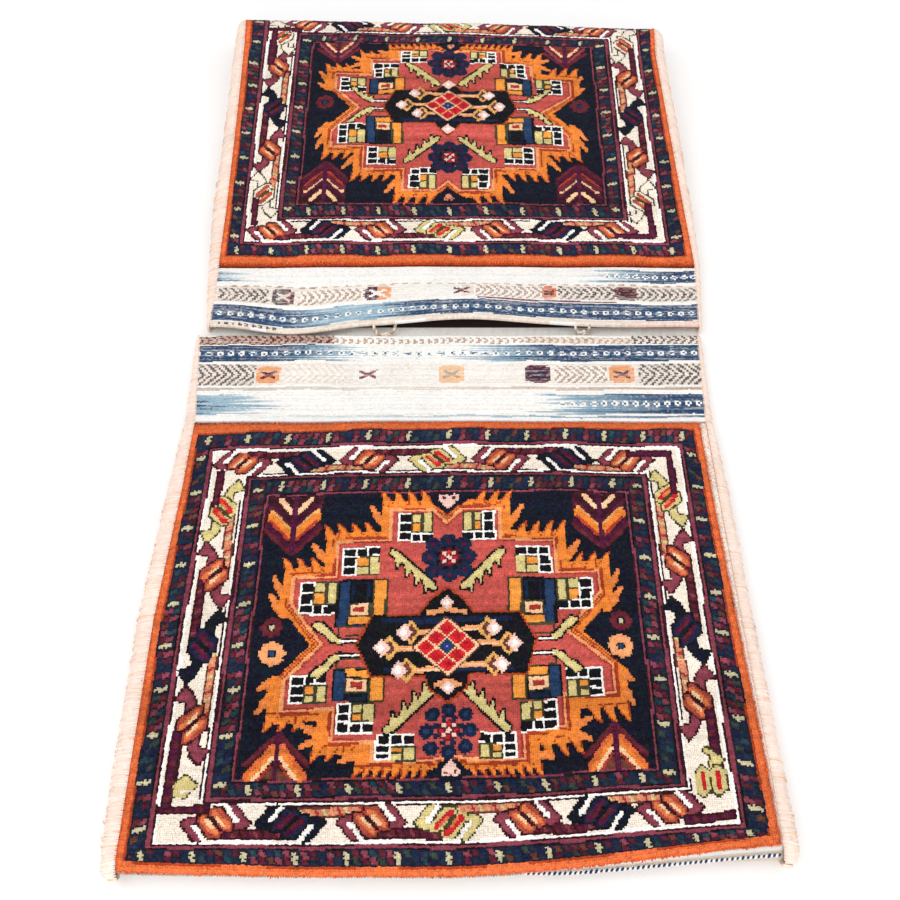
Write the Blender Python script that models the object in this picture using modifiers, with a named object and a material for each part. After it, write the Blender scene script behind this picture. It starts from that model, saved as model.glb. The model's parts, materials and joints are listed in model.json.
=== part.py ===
"""Double saddle bag (khorjin), in metres, +Z up, +X across the bag and +Y from its near pouch to its far one.

One woven strip lies flat, and both of its ends are folded up and over to make two pouches that open towards
each other over a narrow slit. Each pouch has a knotted pile face and a flat-woven mouth band. Wool binding
sewn over the edges closes the pouches' sides, and two knotted loops are left of the closing at the far lip.
"""

import math
from collections import namedtuple

import bmesh
import bpy
import numpy as np

# Driving dimensions of the bag as it lies
BAG_LENGTH = 1.137
NEAR_LIP_Y = 0.0187
NEAR_BAND_LENGTH = 0.123
FAR_LIP_Y = 0.0318
FAR_BAND_LENGTH = 0.089
FACE_LENGTH = 0.470
NEAR_LIP_RISE = 0.0135
NEAR_JOINT_RISE = 0.0145
NEAR_END_RISE = 0.025
FAR_LIP_RISE = 0.0155
FAR_JOINT_RISE = 0.016
FAR_END_RISE = 0.055

# Thickness of the cloth in its three weaves
BACK_THICKNESS = 0.003
BAND_THICKNESS = 0.004
PILE_THICKNESS = 0.008
PILE_EDGE = 0.0025

# Half the width that the cloth was woven to, and how far its left and right edge lie past that, less where it
# has drawn in. The last two say how far the hollow insides of the left and the right binding bulge past the
# edges. They are given at a pouch's lip, its joint, the start, middle and end of its field, and the bag's end
CLOTH_HALF_WIDTH = 0.275
Edge = namedtuple("Edge", "left right left_bulge right_bulge")
NEAR_EDGES = (
    Edge(0.0010, -0.0020, 0.0010, 0.0010),
    Edge(-0.0100, -0.0090, 0.0080, 0.0045),
    Edge(-0.0090, -0.0090, 0.0122, 0.0078),
    Edge(-0.0040, -0.0080, 0.0127, 0.0085),
    Edge(-0.0065, -0.0060, 0.0127, 0.0090),
    Edge(-0.0080, -0.0065, 0.0105, 0.0110),
)
FAR_EDGES = (
    Edge(-0.0085, 0.0010, 0.0010, 0.0010),
    Edge(-0.0075, 0.0080, 0.0090, 0.0035),
    Edge(-0.0070, 0.0050, 0.0135, 0.0080),
    Edge(-0.0040, 0.0010, 0.0130, 0.0115),
    Edge(0.0, -0.0025, 0.0125, 0.0125),
    Edge(0.0040, 0.0020, 0.0090, 0.0100),
)
BINDING_THICKNESS = 0.0025
SEAM_GAP = 0.0003

# Slack of the cloth: crowned faces, ends that aren't quite square, a far lip that waves and lifts
NEAR_CROWN = 0.003
FAR_CROWN = 0.004
NEAR_LEFT_SHIFT = 0.001
NEAR_RIGHT_SHIFT = 0.012
FAR_LEFT_SHIFT = 0.0105
FAR_RIGHT_SHIFT = -0.0105
LIP_WAVE_WIDTH = 0.15
LIP_LIFT = 0.006
LIP_LIFT_X = 0.02
LIP_DROOP = 0.0115
LIP_DROOP_X = -0.175
LIP_DROOP_WIDTH = 0.085

# Widths of the bands of colour of a face's design from its edge inwards, and its medallion and centre
EDGING_WIDTH = 0.0105
OUTER_GUARD_WIDTH = 0.0195
MAIN_BORDER_WIDTH = 0.037
INNER_GUARD_WIDTH = 0.023
MEDALLION_STEPS = ((0.065, 0.140), (0.112, 0.112), (0.150, 0.080))
MEDALLION_EDGING = 0.022
CENTRE_HALF_WIDTH = 0.066
CENTRE_HALF_LENGTH = 0.030

# Knotted loops at the far lip
LOOP_YARN_RADIUS = 0.0016
LOOP_CLEARANCE = 0.0006
LOOP_SEAT_GAP = 0.0009
LEFT_LOOP_X = -0.0725
LEFT_LOOP_WIDTH = 0.024
LEFT_LOOP_REACH = 0.012
RIGHT_LOOP_X = 0.147
RIGHT_LOOP_WIDTH = 0.016
RIGHT_LOOP_REACH = 0.007

# How finely the cloth is divided
FIELD_COLUMNS = 12
FIELD_ROWS = 10
BAND_ROWS = 5
FOLD_ROWS = 7
BINDING_SIDES = 6
BINDING_FOLD_STEPS = 8
LOOP_POINTS = 16

BORDER_WIDTHS = (EDGING_WIDTH, OUTER_GUARD_WIDTH, MAIN_BORDER_WIDTH, INNER_GUARD_WIDTH)
FIELD_START = sum(BORDER_WIDTHS)
FIELD_PLACES = (FIELD_START, FACE_LENGTH / 2, FACE_LENGTH - FIELD_START)

# A row of the cloth: its place on the inner side and the way out of the cloth there, its thickness, how much
# of the lip's wave and the crown it takes, how far its left and right ends are shifted along the bag, and its
# distance along the face where it has pile
Row = namedtuple("Row", "y z out_y out_z thickness lip crown left right along")

Pouch = namedtuple(
    "Pouch", "name way lip_y band_length lip_rise joint_rise end_rise crown left right wave edges"
)
NEAR = Pouch(
    "near", -1, NEAR_LIP_Y, NEAR_BAND_LENGTH, NEAR_LIP_RISE, NEAR_JOINT_RISE,
    NEAR_END_RISE, NEAR_CROWN, NEAR_LEFT_SHIFT, NEAR_RIGHT_SHIFT, 0.0, NEAR_EDGES,
)
FAR = Pouch(
    "far", 1, FAR_LIP_Y, FAR_BAND_LENGTH, FAR_LIP_RISE, FAR_JOINT_RISE,
    FAR_END_RISE, FAR_CROWN, FAR_LEFT_SHIFT, FAR_RIGHT_SHIFT, 1.0, FAR_EDGES,
)

# Colours of the wool
ORANGE = (0.78, 0.20, 0.05, 1.0)
GUARD_NAVY = (0.05, 0.04, 0.09, 1.0)
CREAM = (0.80, 0.70, 0.55, 1.0)
FIELD_NAVY = (0.012, 0.018, 0.045, 1.0)
MEDALLION_ORANGE = (0.83, 0.27, 0.06, 1.0)
SALMON = (0.60, 0.14, 0.11, 1.0)
CENTRE_BLACK = (0.01, 0.01, 0.02, 1.0)
BAND_WHITE = (0.84, 0.82, 0.76, 1.0)
BACK_BEIGE = (0.76, 0.62, 0.50, 1.0)
BINDING_PINK = (0.80, 0.62, 0.52, 1.0)
LOOP_BROWN = (0.30, 0.12, 0.10, 1.0)


def clear_scene():
    for thing in list(bpy.data.objects):
        bpy.data.objects.remove(thing)


def new_collection(name):
    collection = bpy.data.collections.new(name)
    bpy.context.scene.collection.children.link(collection)
    return collection


def wool(name, colour, roughness=0.9):
    material = bpy.data.materials.new(name)
    material.use_nodes = True
    shader = material.node_tree.nodes["Principled BSDF"]
    shader.inputs["Base Color"].default_value = colour
    shader.inputs["Roughness"].default_value = roughness
    shader.inputs["Metallic"].default_value = 0.0
    return material


def fold_radius(pouch):
    """Radius of the fold on its inner side, which the pile and the back leave of the end's height."""
    return (pouch.end_rise - PILE_THICKNESS - BACK_THICKNESS) / 2


def fold_centre(pouch):
    """(y, z) of the fold's axis."""
    reach = BAG_LENGTH / 2 - PILE_THICKNESS - fold_radius(pouch)
    return pouch.way * reach, BACK_THICKNESS + fold_radius(pouch)


def joint_y(pouch):
    """Where a pouch's mouth band meets its pile face."""
    return pouch.lip_y + pouch.way * pouch.band_length


def edge_places(pouch):
    """Where along the bag each of a pouch's edges is given."""
    field = [face_row(pouch, along).y for along in FIELD_PLACES]
    return [pouch.lip_y, joint_y(pouch), *field, pouch.way * BAG_LENGTH / 2]


def edge_at(y):
    """What the edges are at y, in straight runs between the given ones."""
    places = edge_places(NEAR)[::-1] + edge_places(FAR)
    edges = NEAR_EDGES[::-1] + FAR_EDGES
    return Edge(*(float(np.interp(y, places, values)) for values in zip(*edges)))


def half_width(y):
    """Half the cloth's width, which both of its layers have at the same place along the bag."""
    edge = edge_at(y)
    return CLOTH_HALF_WIDTH + (edge.left + edge.right) / 2


def sway(y):
    """How far to the right the middle of the cloth lies."""
    edge = edge_at(y)
    return (edge.right - edge.left) / 2


def binding_bulge(y, side):
    """How far the hollow of the binding on one side stands out from the cloth's edge."""
    edge = edge_at(y)
    return edge.left_bulge if side < 0 else edge.right_bulge


def bump(x, centre, width):
    """A smooth hump of height 1 over centre, which ends at width to both sides."""
    share = min(1.0, abs(x - centre) / width)
    return (1 + math.cos(math.pi * share)) / 2


def eased(share):
    return share * share * (3 - 2 * share)


def place(row, across):
    """(x, y, z) on the cloth's inner side, at -1 to 1 across it. All slack runs out level at both edges."""
    x = across * half_width(row.y) + sway(row.y)
    lift = LIP_LIFT * bump(x, LIP_LIFT_X, LIP_WAVE_WIDTH)
    drift = lift - LIP_DROOP * bump(x, LIP_DROOP_X, LIP_DROOP_WIDTH)
    shift = row.left * eased(max(0.0, -across)) + row.right * eased(max(0.0, across))
    return (
        x,
        row.y + row.lip * drift + shift,
        row.z + row.lip * lift + row.crown * (1 - across * across) ** 2,
    )


def lip_row(pouch, share):
    """A row of the mouth band, from its lip at 0 to the pile face at 1."""
    rise = pouch.lip_rise + (pouch.joint_rise - pouch.lip_rise) * share
    return Row(
        pouch.lip_y + pouch.way * pouch.band_length * share,
        rise - BAND_THICKNESS,
        0.0,
        1.0,
        BAND_THICKNESS,
        pouch.wave * eased(1 - share),
        pouch.crown * eased(share) / 2,
        0.0,
        0.0,
        None,
    )


def face_row(pouch, along):
    """A row of the pile face, by its distance from the mouth band over the flat and then round the fold."""
    centre_y, centre_z = fold_centre(pouch)
    radius = fold_radius(pouch)
    start_y = joint_y(pouch)
    start_z = pouch.joint_rise - BAND_THICKNESS
    end_z = centre_z + radius
    flat = math.hypot(centre_y - start_y, end_z - start_z)
    if along <= flat:
        share = along / flat
        return Row(
            start_y + (centre_y - start_y) * share,
            start_z + (end_z - start_z) * share,
            0.0,
            1.0,
            PILE_THICKNESS,
            0.0,
            pouch.crown * (1 + math.sin(math.pi * share) ** 2) / 2,
            pouch.left * eased(share),
            pouch.right * eased(share),
            along,
        )
    angle = (along - flat) / (radius + PILE_THICKNESS)
    return fold_row(pouch, angle, PILE_THICKNESS, along)


def fold_row(pouch, angle, thickness, along=None):
    """A row of the fold, by its angle from the top."""
    centre_y, centre_z = fold_centre(pouch)
    radius = fold_radius(pouch)
    out_y = pouch.way * math.sin(angle)
    out_z = math.cos(angle)
    return Row(
        centre_y + radius * out_y,
        centre_z + radius * out_z,
        out_y,
        out_z,
        thickness,
        0.0,
        pouch.crown * max(0.0, out_z) / 2,
        pouch.left,
        pouch.right,
        along,
    )


def face_end_angle(pouch):
    """The angle of the fold at which the pile face ends."""
    last = face_row(pouch, FACE_LENGTH)
    return math.atan2(abs(last.out_y), last.out_z)


def border_steps(length, parts):
    """Distances along a face's side at which its colours change, and parts between the borders."""
    inwards = [0.0]
    for width in BORDER_WIDTHS:
        inwards.append(inwards[-1] + width)
    field = [
        inwards[-1] + (length - 2 * inwards[-1]) * step / parts for step in range(1, parts)
    ]
    return inwards + field + [length - distance for distance in reversed(inwards)]


def pouch_rows(pouch):
    """The rows of a pouch from its lip to where its fold meets the floor."""
    rows = [lip_row(pouch, step / BAND_ROWS) for step in range(BAND_ROWS + 1)]
    distances = border_steps(FACE_LENGTH, FIELD_ROWS)
    distances[0] = PILE_EDGE
    last_angle = face_end_angle(pouch)
    turning = [distance for distance in distances if distance < FACE_LENGTH - PILE_EDGE]
    rows += [face_row(pouch, distance) for distance in turning]
    rows.append(face_row(pouch, FACE_LENGTH - PILE_EDGE))
    for step in range(FOLD_ROWS + 1):
        angle = last_angle + (math.pi - last_angle) * step / FOLD_ROWS
        rows.append(fold_row(pouch, angle, BACK_THICKNESS))
    return rows


def back_row(pouch, y, share=0.0):
    """A row of the back on the floor, shifted at its ends as the pouch above it is."""
    left, right = pouch.left * eased(share), pouch.right * eased(share)
    return Row(y, BACK_THICKNESS, 0.0, -1.0, BACK_THICKNESS, 0.0, 0.0, left, right, None)


def back_half(pouch):
    """The rows of the back under one pouch, from its lip to just before its fold."""
    rows = [back_row(pouch, pouch.lip_y)]
    start, end = joint_y(pouch), fold_centre(pouch)[0]
    ys = edge_places(pouch)[1:-1]
    middles = [(y + next_y) / 2 for y, next_y in zip(ys, ys[1:])]
    for y in sorted(ys + middles, key=abs):
        rows.append(back_row(pouch, y, (y - start) / (end - start)))
    return rows


def back_rows():
    """The rows of the back and the bridge between the folds, lying on the floor."""
    return list(reversed(back_half(NEAR))) + back_half(FAR)


def columns():
    """Places across the cloth, from -1 to 1, at the lines where the face's colours change."""
    width = 2 * CLOTH_HALF_WIDTH
    return [2 * distance / width - 1 for distance in border_steps(width, FIELD_COLUMNS)]


def weave_of(row, next_row, left, right):
    """The name of the colour between two rows and two columns."""
    if row.along is None and next_row.along is None:
        return "back" if row.thickness == BACK_THICKNESS else "band"
    along = ((row.along or 0.0) + (next_row.along or FACE_LENGTH)) / 2
    across = abs(left + right) / 2 * CLOTH_HALF_WIDTH
    inset = min(CLOTH_HALF_WIDTH - across, along, FACE_LENGTH - along)
    for width, name in zip(BORDER_WIDTHS, ("edging", "guard", "border", "guard")):
        if inset < width:
            return name
        inset -= width
    length = abs(along - FACE_LENGTH / 2)
    if across < CENTRE_HALF_WIDTH and length < CENTRE_HALF_LENGTH:
        return "centre"
    for half_x, half_y in MEDALLION_STEPS:
        if across < half_x - MEDALLION_EDGING and length < half_y - MEDALLION_EDGING:
            return "ground"
    for half_x, half_y in MEDALLION_STEPS:
        if across < half_x and length < half_y:
            return "medallion"
    return "field"


def cloth_materials():
    """The wools of the strip by name, in the order of their slots."""
    return {
        "band": wool("band_white_wool", BAND_WHITE),
        "back": wool("back_beige_wool", BACK_BEIGE),
        "edging": wool("edging_orange_pile", ORANGE),
        "guard": wool("guard_navy_pile", GUARD_NAVY),
        "border": wool("border_cream_pile", CREAM),
        "field": wool("field_navy_pile", FIELD_NAVY),
        "medallion": wool("medallion_orange_pile", MEDALLION_ORANGE),
        "ground": wool("ground_salmon_pile", SALMON),
        "centre": wool("centre_black_pile", CENTRE_BLACK),
    }


def make_strip(collection):
    """The whole woven strip: a grid bent along its folds, with the thickness of each weave outside it."""
    rows = pouch_rows(NEAR) + back_rows() + list(reversed(pouch_rows(FAR)))
    across = columns()
    shape = bmesh.new()
    bmesh.ops.create_grid(shape, x_segments=len(across) - 1, y_segments=len(rows) - 1, size=1.0)
    cells = {}
    for vertex in shape.verts:
        column = round((vertex.co.x + 1) / 2 * (len(across) - 1))
        row = round((vertex.co.y + 1) / 2 * (len(rows) - 1))
        cells[vertex] = (row, column)
    names = list(cloth_materials().items())
    order = [name for name, _ in names]
    for face in shape.faces:
        row = min(cells[vertex][0] for vertex in face.verts)
        column = min(cells[vertex][1] for vertex in face.verts)
        name = weave_of(rows[row], rows[row + 1], across[column], across[column + 1])
        face.material_index = order.index(name)
    for vertex, (row, column) in cells.items():
        vertex.co = place(rows[row], across[column])
    bmesh.ops.recalc_face_normals(shape, faces=shape.faces)
    top = max(shape.faces, key=lambda face: face.calc_center_median().z)
    if top.normal.z < 0:
        bmesh.ops.reverse_faces(shape, faces=shape.faces)
    shape.verts.index_update()
    thickness = [rows[cells[vertex][0]].thickness for vertex in shape.verts]
    mesh = bpy.data.meshes.new("woven_strip")
    shape.to_mesh(mesh)
    shape.free()
    for _, material in names:
        mesh.materials.append(material)
    mesh.shade_smooth()
    strip = bpy.data.objects.new("woven_strip", mesh)
    collection.objects.link(strip)
    group = strip.vertex_groups.new(name="thickness")
    for index, depth in enumerate(thickness):
        group.add([index], depth / PILE_THICKNESS, "REPLACE")
    wall = strip.modifiers.new("weave_thickness", "SOLIDIFY")
    wall.thickness = PILE_THICKNESS
    wall.offset = 1.0
    wall.vertex_group = group.name
    return strip


def binding_stations(pouch, side):
    """(x, y, top, bottom, bulge) of the closed side of a pouch, from its lip to the end of its fold."""
    rows = [row for row in pouch_rows(pouch) if row.out_y == 0.0]
    quarter = math.pi / 2 / BINDING_FOLD_STEPS
    rows += [fold_row(pouch, quarter * step, PILE_THICKNESS) for step in range(BINDING_FOLD_STEPS)]
    stations = []
    for row in rows:
        x, y, z = place(row, side)
        top = z + row.out_z * row.thickness
        bottom = (fold_radius(pouch) + BACK_THICKNESS) * (1 - row.out_z)
        if top - bottom > 3 * BINDING_THICKNESS:
            y += row.out_y * row.thickness
            stations.append((x, y, top, bottom, binding_bulge(row.y, side) * math.sqrt(row.out_z)))
    return stations


def binding_section(station, side):
    """The closed outline of a binding at one station: up its outside, and down its hollow inside."""
    x, y, top, bottom, bulge = station
    middle = (top + bottom) / 2
    outline = []
    for wall, way in ((BINDING_THICKNESS, 1), (0.0, -1)):
        height = (top - bottom) / 2 - BINDING_THICKNESS + wall
        for step in range(BINDING_SIDES + 1):
            turn = way * math.pi * (step / BINDING_SIDES - 0.5)
            out = SEAM_GAP + (bulge + wall) * math.cos(turn)
            outline.append((x + side * out, y, middle + height * math.sin(turn)))
    return outline


def make_binding(collection, pouch, side, material):
    """The wool sewn over both edges of one side of a pouch: a bowed wall lofted from the lip to the fold."""
    shape = bmesh.new()
    rings = []
    for station in binding_stations(pouch, side):
        rings.append([shape.verts.new(point) for point in binding_section(station, side)])
    points = len(rings[0])
    for ring, next_ring in zip(rings, rings[1:]):
        for here in range(points):
            there = (here + 1) % points
            shape.faces.new((ring[here], ring[there], next_ring[there], next_ring[here]))
    for ring in (rings[0], rings[-1]):
        for step in range(BINDING_SIDES):
            inner = points - 1 - step
            shape.faces.new((ring[step], ring[step + 1], ring[inner - 1], ring[inner]))
    bmesh.ops.recalc_face_normals(shape, faces=shape.faces)
    name = pouch.name + ("_left_binding" if side < 0 else "_right_binding")
    mesh = bpy.data.meshes.new(name)
    shape.to_mesh(mesh)
    shape.free()
    mesh.materials.append(material)
    mesh.shade_smooth()
    binding = bpy.data.objects.new(name, mesh)
    collection.objects.link(binding)
    return binding


def lip_edge(x):
    """(y, z) of the middle of the far lip's edge at x."""
    row = lip_row(FAR, 0.0)
    _, y, z = place(row, (x - sway(row.y)) / half_width(row.y))
    return y, z + BAND_THICKNESS / 2


def make_loop(collection, name, x, width, reach, material):
    """A closing loop's yarn: out of the lip's edge, down towards the bridge and back."""
    floor = BACK_THICKNESS + LOOP_CLEARANCE + LOOP_YARN_RADIUS
    curve = bpy.data.curves.new(name, "CURVE")
    curve.dimensions = "3D"
    curve.bevel_depth = LOOP_YARN_RADIUS
    curve.bevel_resolution = 2
    curve.use_fill_caps = True
    spline = curve.splines.new("POLY")
    spline.points.add(LOOP_POINTS - 1)
    for step, point in enumerate(spline.points):
        turn = math.pi * step / (LOOP_POINTS - 1)
        at_x = x - width / 2 * math.cos(turn)
        edge_y, edge_z = lip_edge(at_x)
        out = math.sin(turn)
        point.co = (
            at_x,
            edge_y - LOOP_SEAT_GAP - reach * out,
            edge_z + (floor - edge_z) * eased(out),
            1.0,
        )
    curve.materials.append(material)
    loop = bpy.data.objects.new(name, curve)
    collection.objects.link(loop)
    return loop


def footprint_centre(parts):
    """The middle of the parts' box in X and Y, so that the bag can be centred over its own footprint."""
    graph = bpy.context.evaluated_depsgraph_get()
    corners = []
    for part in parts:
        mesh = part.evaluated_get(graph).to_mesh()
        corners += [tuple(part.matrix_world @ vertex.co) for vertex in mesh.vertices]
    low, high = np.min(corners, axis=0), np.max(corners, axis=0)
    return (low + high) / 2


def main():
    clear_scene()
    collection = new_collection("saddle_bag")
    parts = [make_strip(collection)]
    binding_wool = wool("binding_pink_wool", BINDING_PINK)
    for pouch in (NEAR, FAR):
        for side in (-1, 1):
            parts.append(make_binding(collection, pouch, side, binding_wool.copy()))
    loop_wool = wool("loop_brown_wool", LOOP_BROWN)
    for name, x, width, reach in (
        ("left_closing_loop", LEFT_LOOP_X, LEFT_LOOP_WIDTH, LEFT_LOOP_REACH),
        ("right_closing_loop", RIGHT_LOOP_X, RIGHT_LOOP_WIDTH, RIGHT_LOOP_REACH),
    ):
        parts.append(make_loop(collection, name, x, width, reach, loop_wool.copy()))
    bpy.context.view_layer.update()
    centre = footprint_centre(parts)
    origin = bpy.data.objects.new("bag_origin", None)
    collection.objects.link(origin)
    for part in parts:
        part.parent = origin
    origin.location = (-centre[0], -centre[1], 0.0)


main()
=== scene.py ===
"""A double saddle bag, dressed: faces, mouth bands, back, side bindings and closing loops."""

import json
import logging
import math
from dataclasses import dataclass
from enum import Enum
from typing import Any, Sequence

import bpy
import numpy as np
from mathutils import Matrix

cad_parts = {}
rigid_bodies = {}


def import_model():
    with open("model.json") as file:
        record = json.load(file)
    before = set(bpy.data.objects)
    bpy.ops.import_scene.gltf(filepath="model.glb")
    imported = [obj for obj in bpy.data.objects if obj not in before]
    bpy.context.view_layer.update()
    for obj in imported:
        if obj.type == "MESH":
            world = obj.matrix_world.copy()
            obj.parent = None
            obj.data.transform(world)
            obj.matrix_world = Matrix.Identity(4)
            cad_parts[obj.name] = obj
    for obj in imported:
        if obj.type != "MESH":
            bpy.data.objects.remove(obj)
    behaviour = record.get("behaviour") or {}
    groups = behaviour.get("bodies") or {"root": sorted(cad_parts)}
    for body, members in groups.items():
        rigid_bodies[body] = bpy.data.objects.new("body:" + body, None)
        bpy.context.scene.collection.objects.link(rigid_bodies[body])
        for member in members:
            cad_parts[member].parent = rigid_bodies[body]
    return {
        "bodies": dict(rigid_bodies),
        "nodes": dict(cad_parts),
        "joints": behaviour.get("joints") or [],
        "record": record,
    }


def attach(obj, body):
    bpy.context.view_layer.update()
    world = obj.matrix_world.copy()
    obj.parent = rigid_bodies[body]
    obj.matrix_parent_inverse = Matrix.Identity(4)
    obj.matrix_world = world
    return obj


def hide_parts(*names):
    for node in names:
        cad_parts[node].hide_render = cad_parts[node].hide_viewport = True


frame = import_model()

LOG = logging.getLogger("saddle_bag")
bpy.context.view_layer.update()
BODY = "root"
MM = 1000.0
FACE_HALF = 270.0
FACE_LENGTH = 470.0
BRIGHTEST = 0.93
UNDER = 0.0002
SIDES = (-1.0, 1.0)
Pair = tuple[float, float]
Box = tuple[float, float, float, float]
Array = np.ndarray
Chance = np.random.Generator


class Dye(Enum):
    """Dyed and undyed wools, and one painted shadow colour (SHADOW), as display colours from 0 to
    255.
    """

    ORANGE_EDGE = (220, 106, 58)
    ORANGE = (234, 130, 52)
    PEACH = (236, 158, 104)
    PALE_PEACH = (244, 196, 152)
    SALMON = (192, 82, 74)
    RED = (204, 36, 44)
    RUST = (176, 76, 58)
    MAROON = (100, 34, 46)
    DARK_MAROON = (58, 18, 30)
    PURPLE = (80, 22, 54)
    BROWN = (104, 58, 46)
    FIELD = (14, 19, 34)
    BLACK = (16, 15, 22)
    GUARD = (33, 33, 50)
    BLUE = (36, 60, 96)
    DEEP_BLUE = (22, 35, 64)
    TEAL = (38, 66, 74)
    CREAM = (238, 224, 208)
    WHITE = (250, 246, 240)
    STRAW = (212, 194, 130)
    FLECK = (198, 188, 150)
    OLIVE = (70, 66, 44)
    PINK = (240, 196, 184)
    PALE_BLUE = (146, 178, 196)
    NAVY_WEFT = (32, 66, 104)
    BEIGE = (232, 217, 202)
    TAN = (184, 154, 134)
    BACK_PINK = (244, 220, 206)
    SMOKE = (88, 78, 84)
    BURNT = (176, 66, 30)
    AMBER = (238, 150, 62)
    FLAME = (232, 132, 68)
    BRICK = (176, 58, 46)
    ROSE = (216, 134, 108)
    COPPER = (222, 118, 72)
    MAUVE = (138, 62, 76)
    MOSS = (52, 66, 58)
    STRAW_ORANGE = (226, 168, 96)
    DEEP_RED = (186, 26, 40)
    ROYAL = (44, 52, 142)
    SLATE = (32, 44, 66)
    WINE = (84, 30, 44)
    # Painted shadow: the dark colour laid on the back inside the far pouch's mouth, under its lip.
    SHADOW = (50, 28, 28)
    GREY = (176, 166, 160)
    IVORY = (247, 240, 233)
    BLUSH = (240, 206, 190)

    @property
    def linear(self) -> Array:
        """The colour as scene light."""
        value = np.array(self.value, float) / 255
        return np.where(value <= 0.04045, value / 12.92, ((value + 0.055) / 1.055) ** 2.4)


def eased(share: Array | float) -> Array | float:
    """Zero to one, level at both ends."""
    return share * share * (3 - 2 * share)


def hump(x: Array | float, centre: float, width: float) -> Array | float:
    """A smooth hump of height 1 that ends at width to both sides of its centre."""
    return (1 + np.cos(np.pi * np.minimum(1.0, np.abs(x - centre) / width))) / 2


def run_along(points: Array) -> Array:
    """The distance run along a path at each of its points."""
    return np.concatenate([[0], np.cumsum(np.linalg.norm(np.diff(points, axis=0), axis=1))])


def uneven(chance: Chance, spread: float, *shape: int) -> Array:
    """Random factors round 1."""
    return 1 + chance.normal(0, spread, shape)


def put(name: str, data: bpy.types.ID) -> bpy.types.Object:
    """Puts a new object into the scene.

    Args:
        name: its name.
        data: its mesh, lamp or lens.

    Returns:
        The object.
    """
    thing = bpy.data.objects.new(name, data)
    bpy.context.scene.collection.objects.link(thing)
    return thing


@dataclass(frozen=True)
class Half:
    """One pouch: its place and slack, in metres, and its edges' rows of left, right and bulges."""

    name: str
    way: int
    lip_y: float
    band_length: float
    lip_rise: float
    joint_rise: float
    end_rise: float
    crown: float
    left: float
    right: float
    wave: float
    edges: tuple[Box, ...]

    @property
    def joint_y(self) -> float:
        """Where the mouth band meets the knotted face."""
        return self.lip_y + self.way * self.band_length


NEAR = Half(
    name="near", way=-1, lip_y=0.0187, band_length=0.123, lip_rise=0.0135, joint_rise=0.0145,
    end_rise=0.025, crown=0.003, left=0.001, right=0.012, wave=0.0,
    edges=(
        (-0.2760, 0.2730, 0.0010, 0.0010),
        (-0.2650, 0.2660, 0.0080, 0.0045),
        (-0.2660, 0.2660, 0.0122, 0.0078),
        (-0.2710, 0.2670, 0.0127, 0.0085),
        (-0.2685, 0.2690, 0.0127, 0.0090),
        (-0.2670, 0.2685, 0.0105, 0.0110),
    ),
)
FAR = Half(
    name="far", way=1, lip_y=0.0318, band_length=0.089, lip_rise=0.0155, joint_rise=0.016,
    end_rise=0.055, crown=0.004, left=0.0105, right=-0.0105, wave=1.0,
    edges=(
        (-0.2665, 0.2760, 0.0010, 0.0010),
        (-0.2675, 0.2830, 0.0090, 0.0035),
        (-0.2680, 0.2800, 0.0135, 0.0080),
        (-0.2710, 0.2760, 0.0130, 0.0115),
        (-0.2750, 0.2725, 0.0125, 0.0125),
        (-0.2790, 0.2770, 0.0090, 0.0100),
    ),
)


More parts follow.
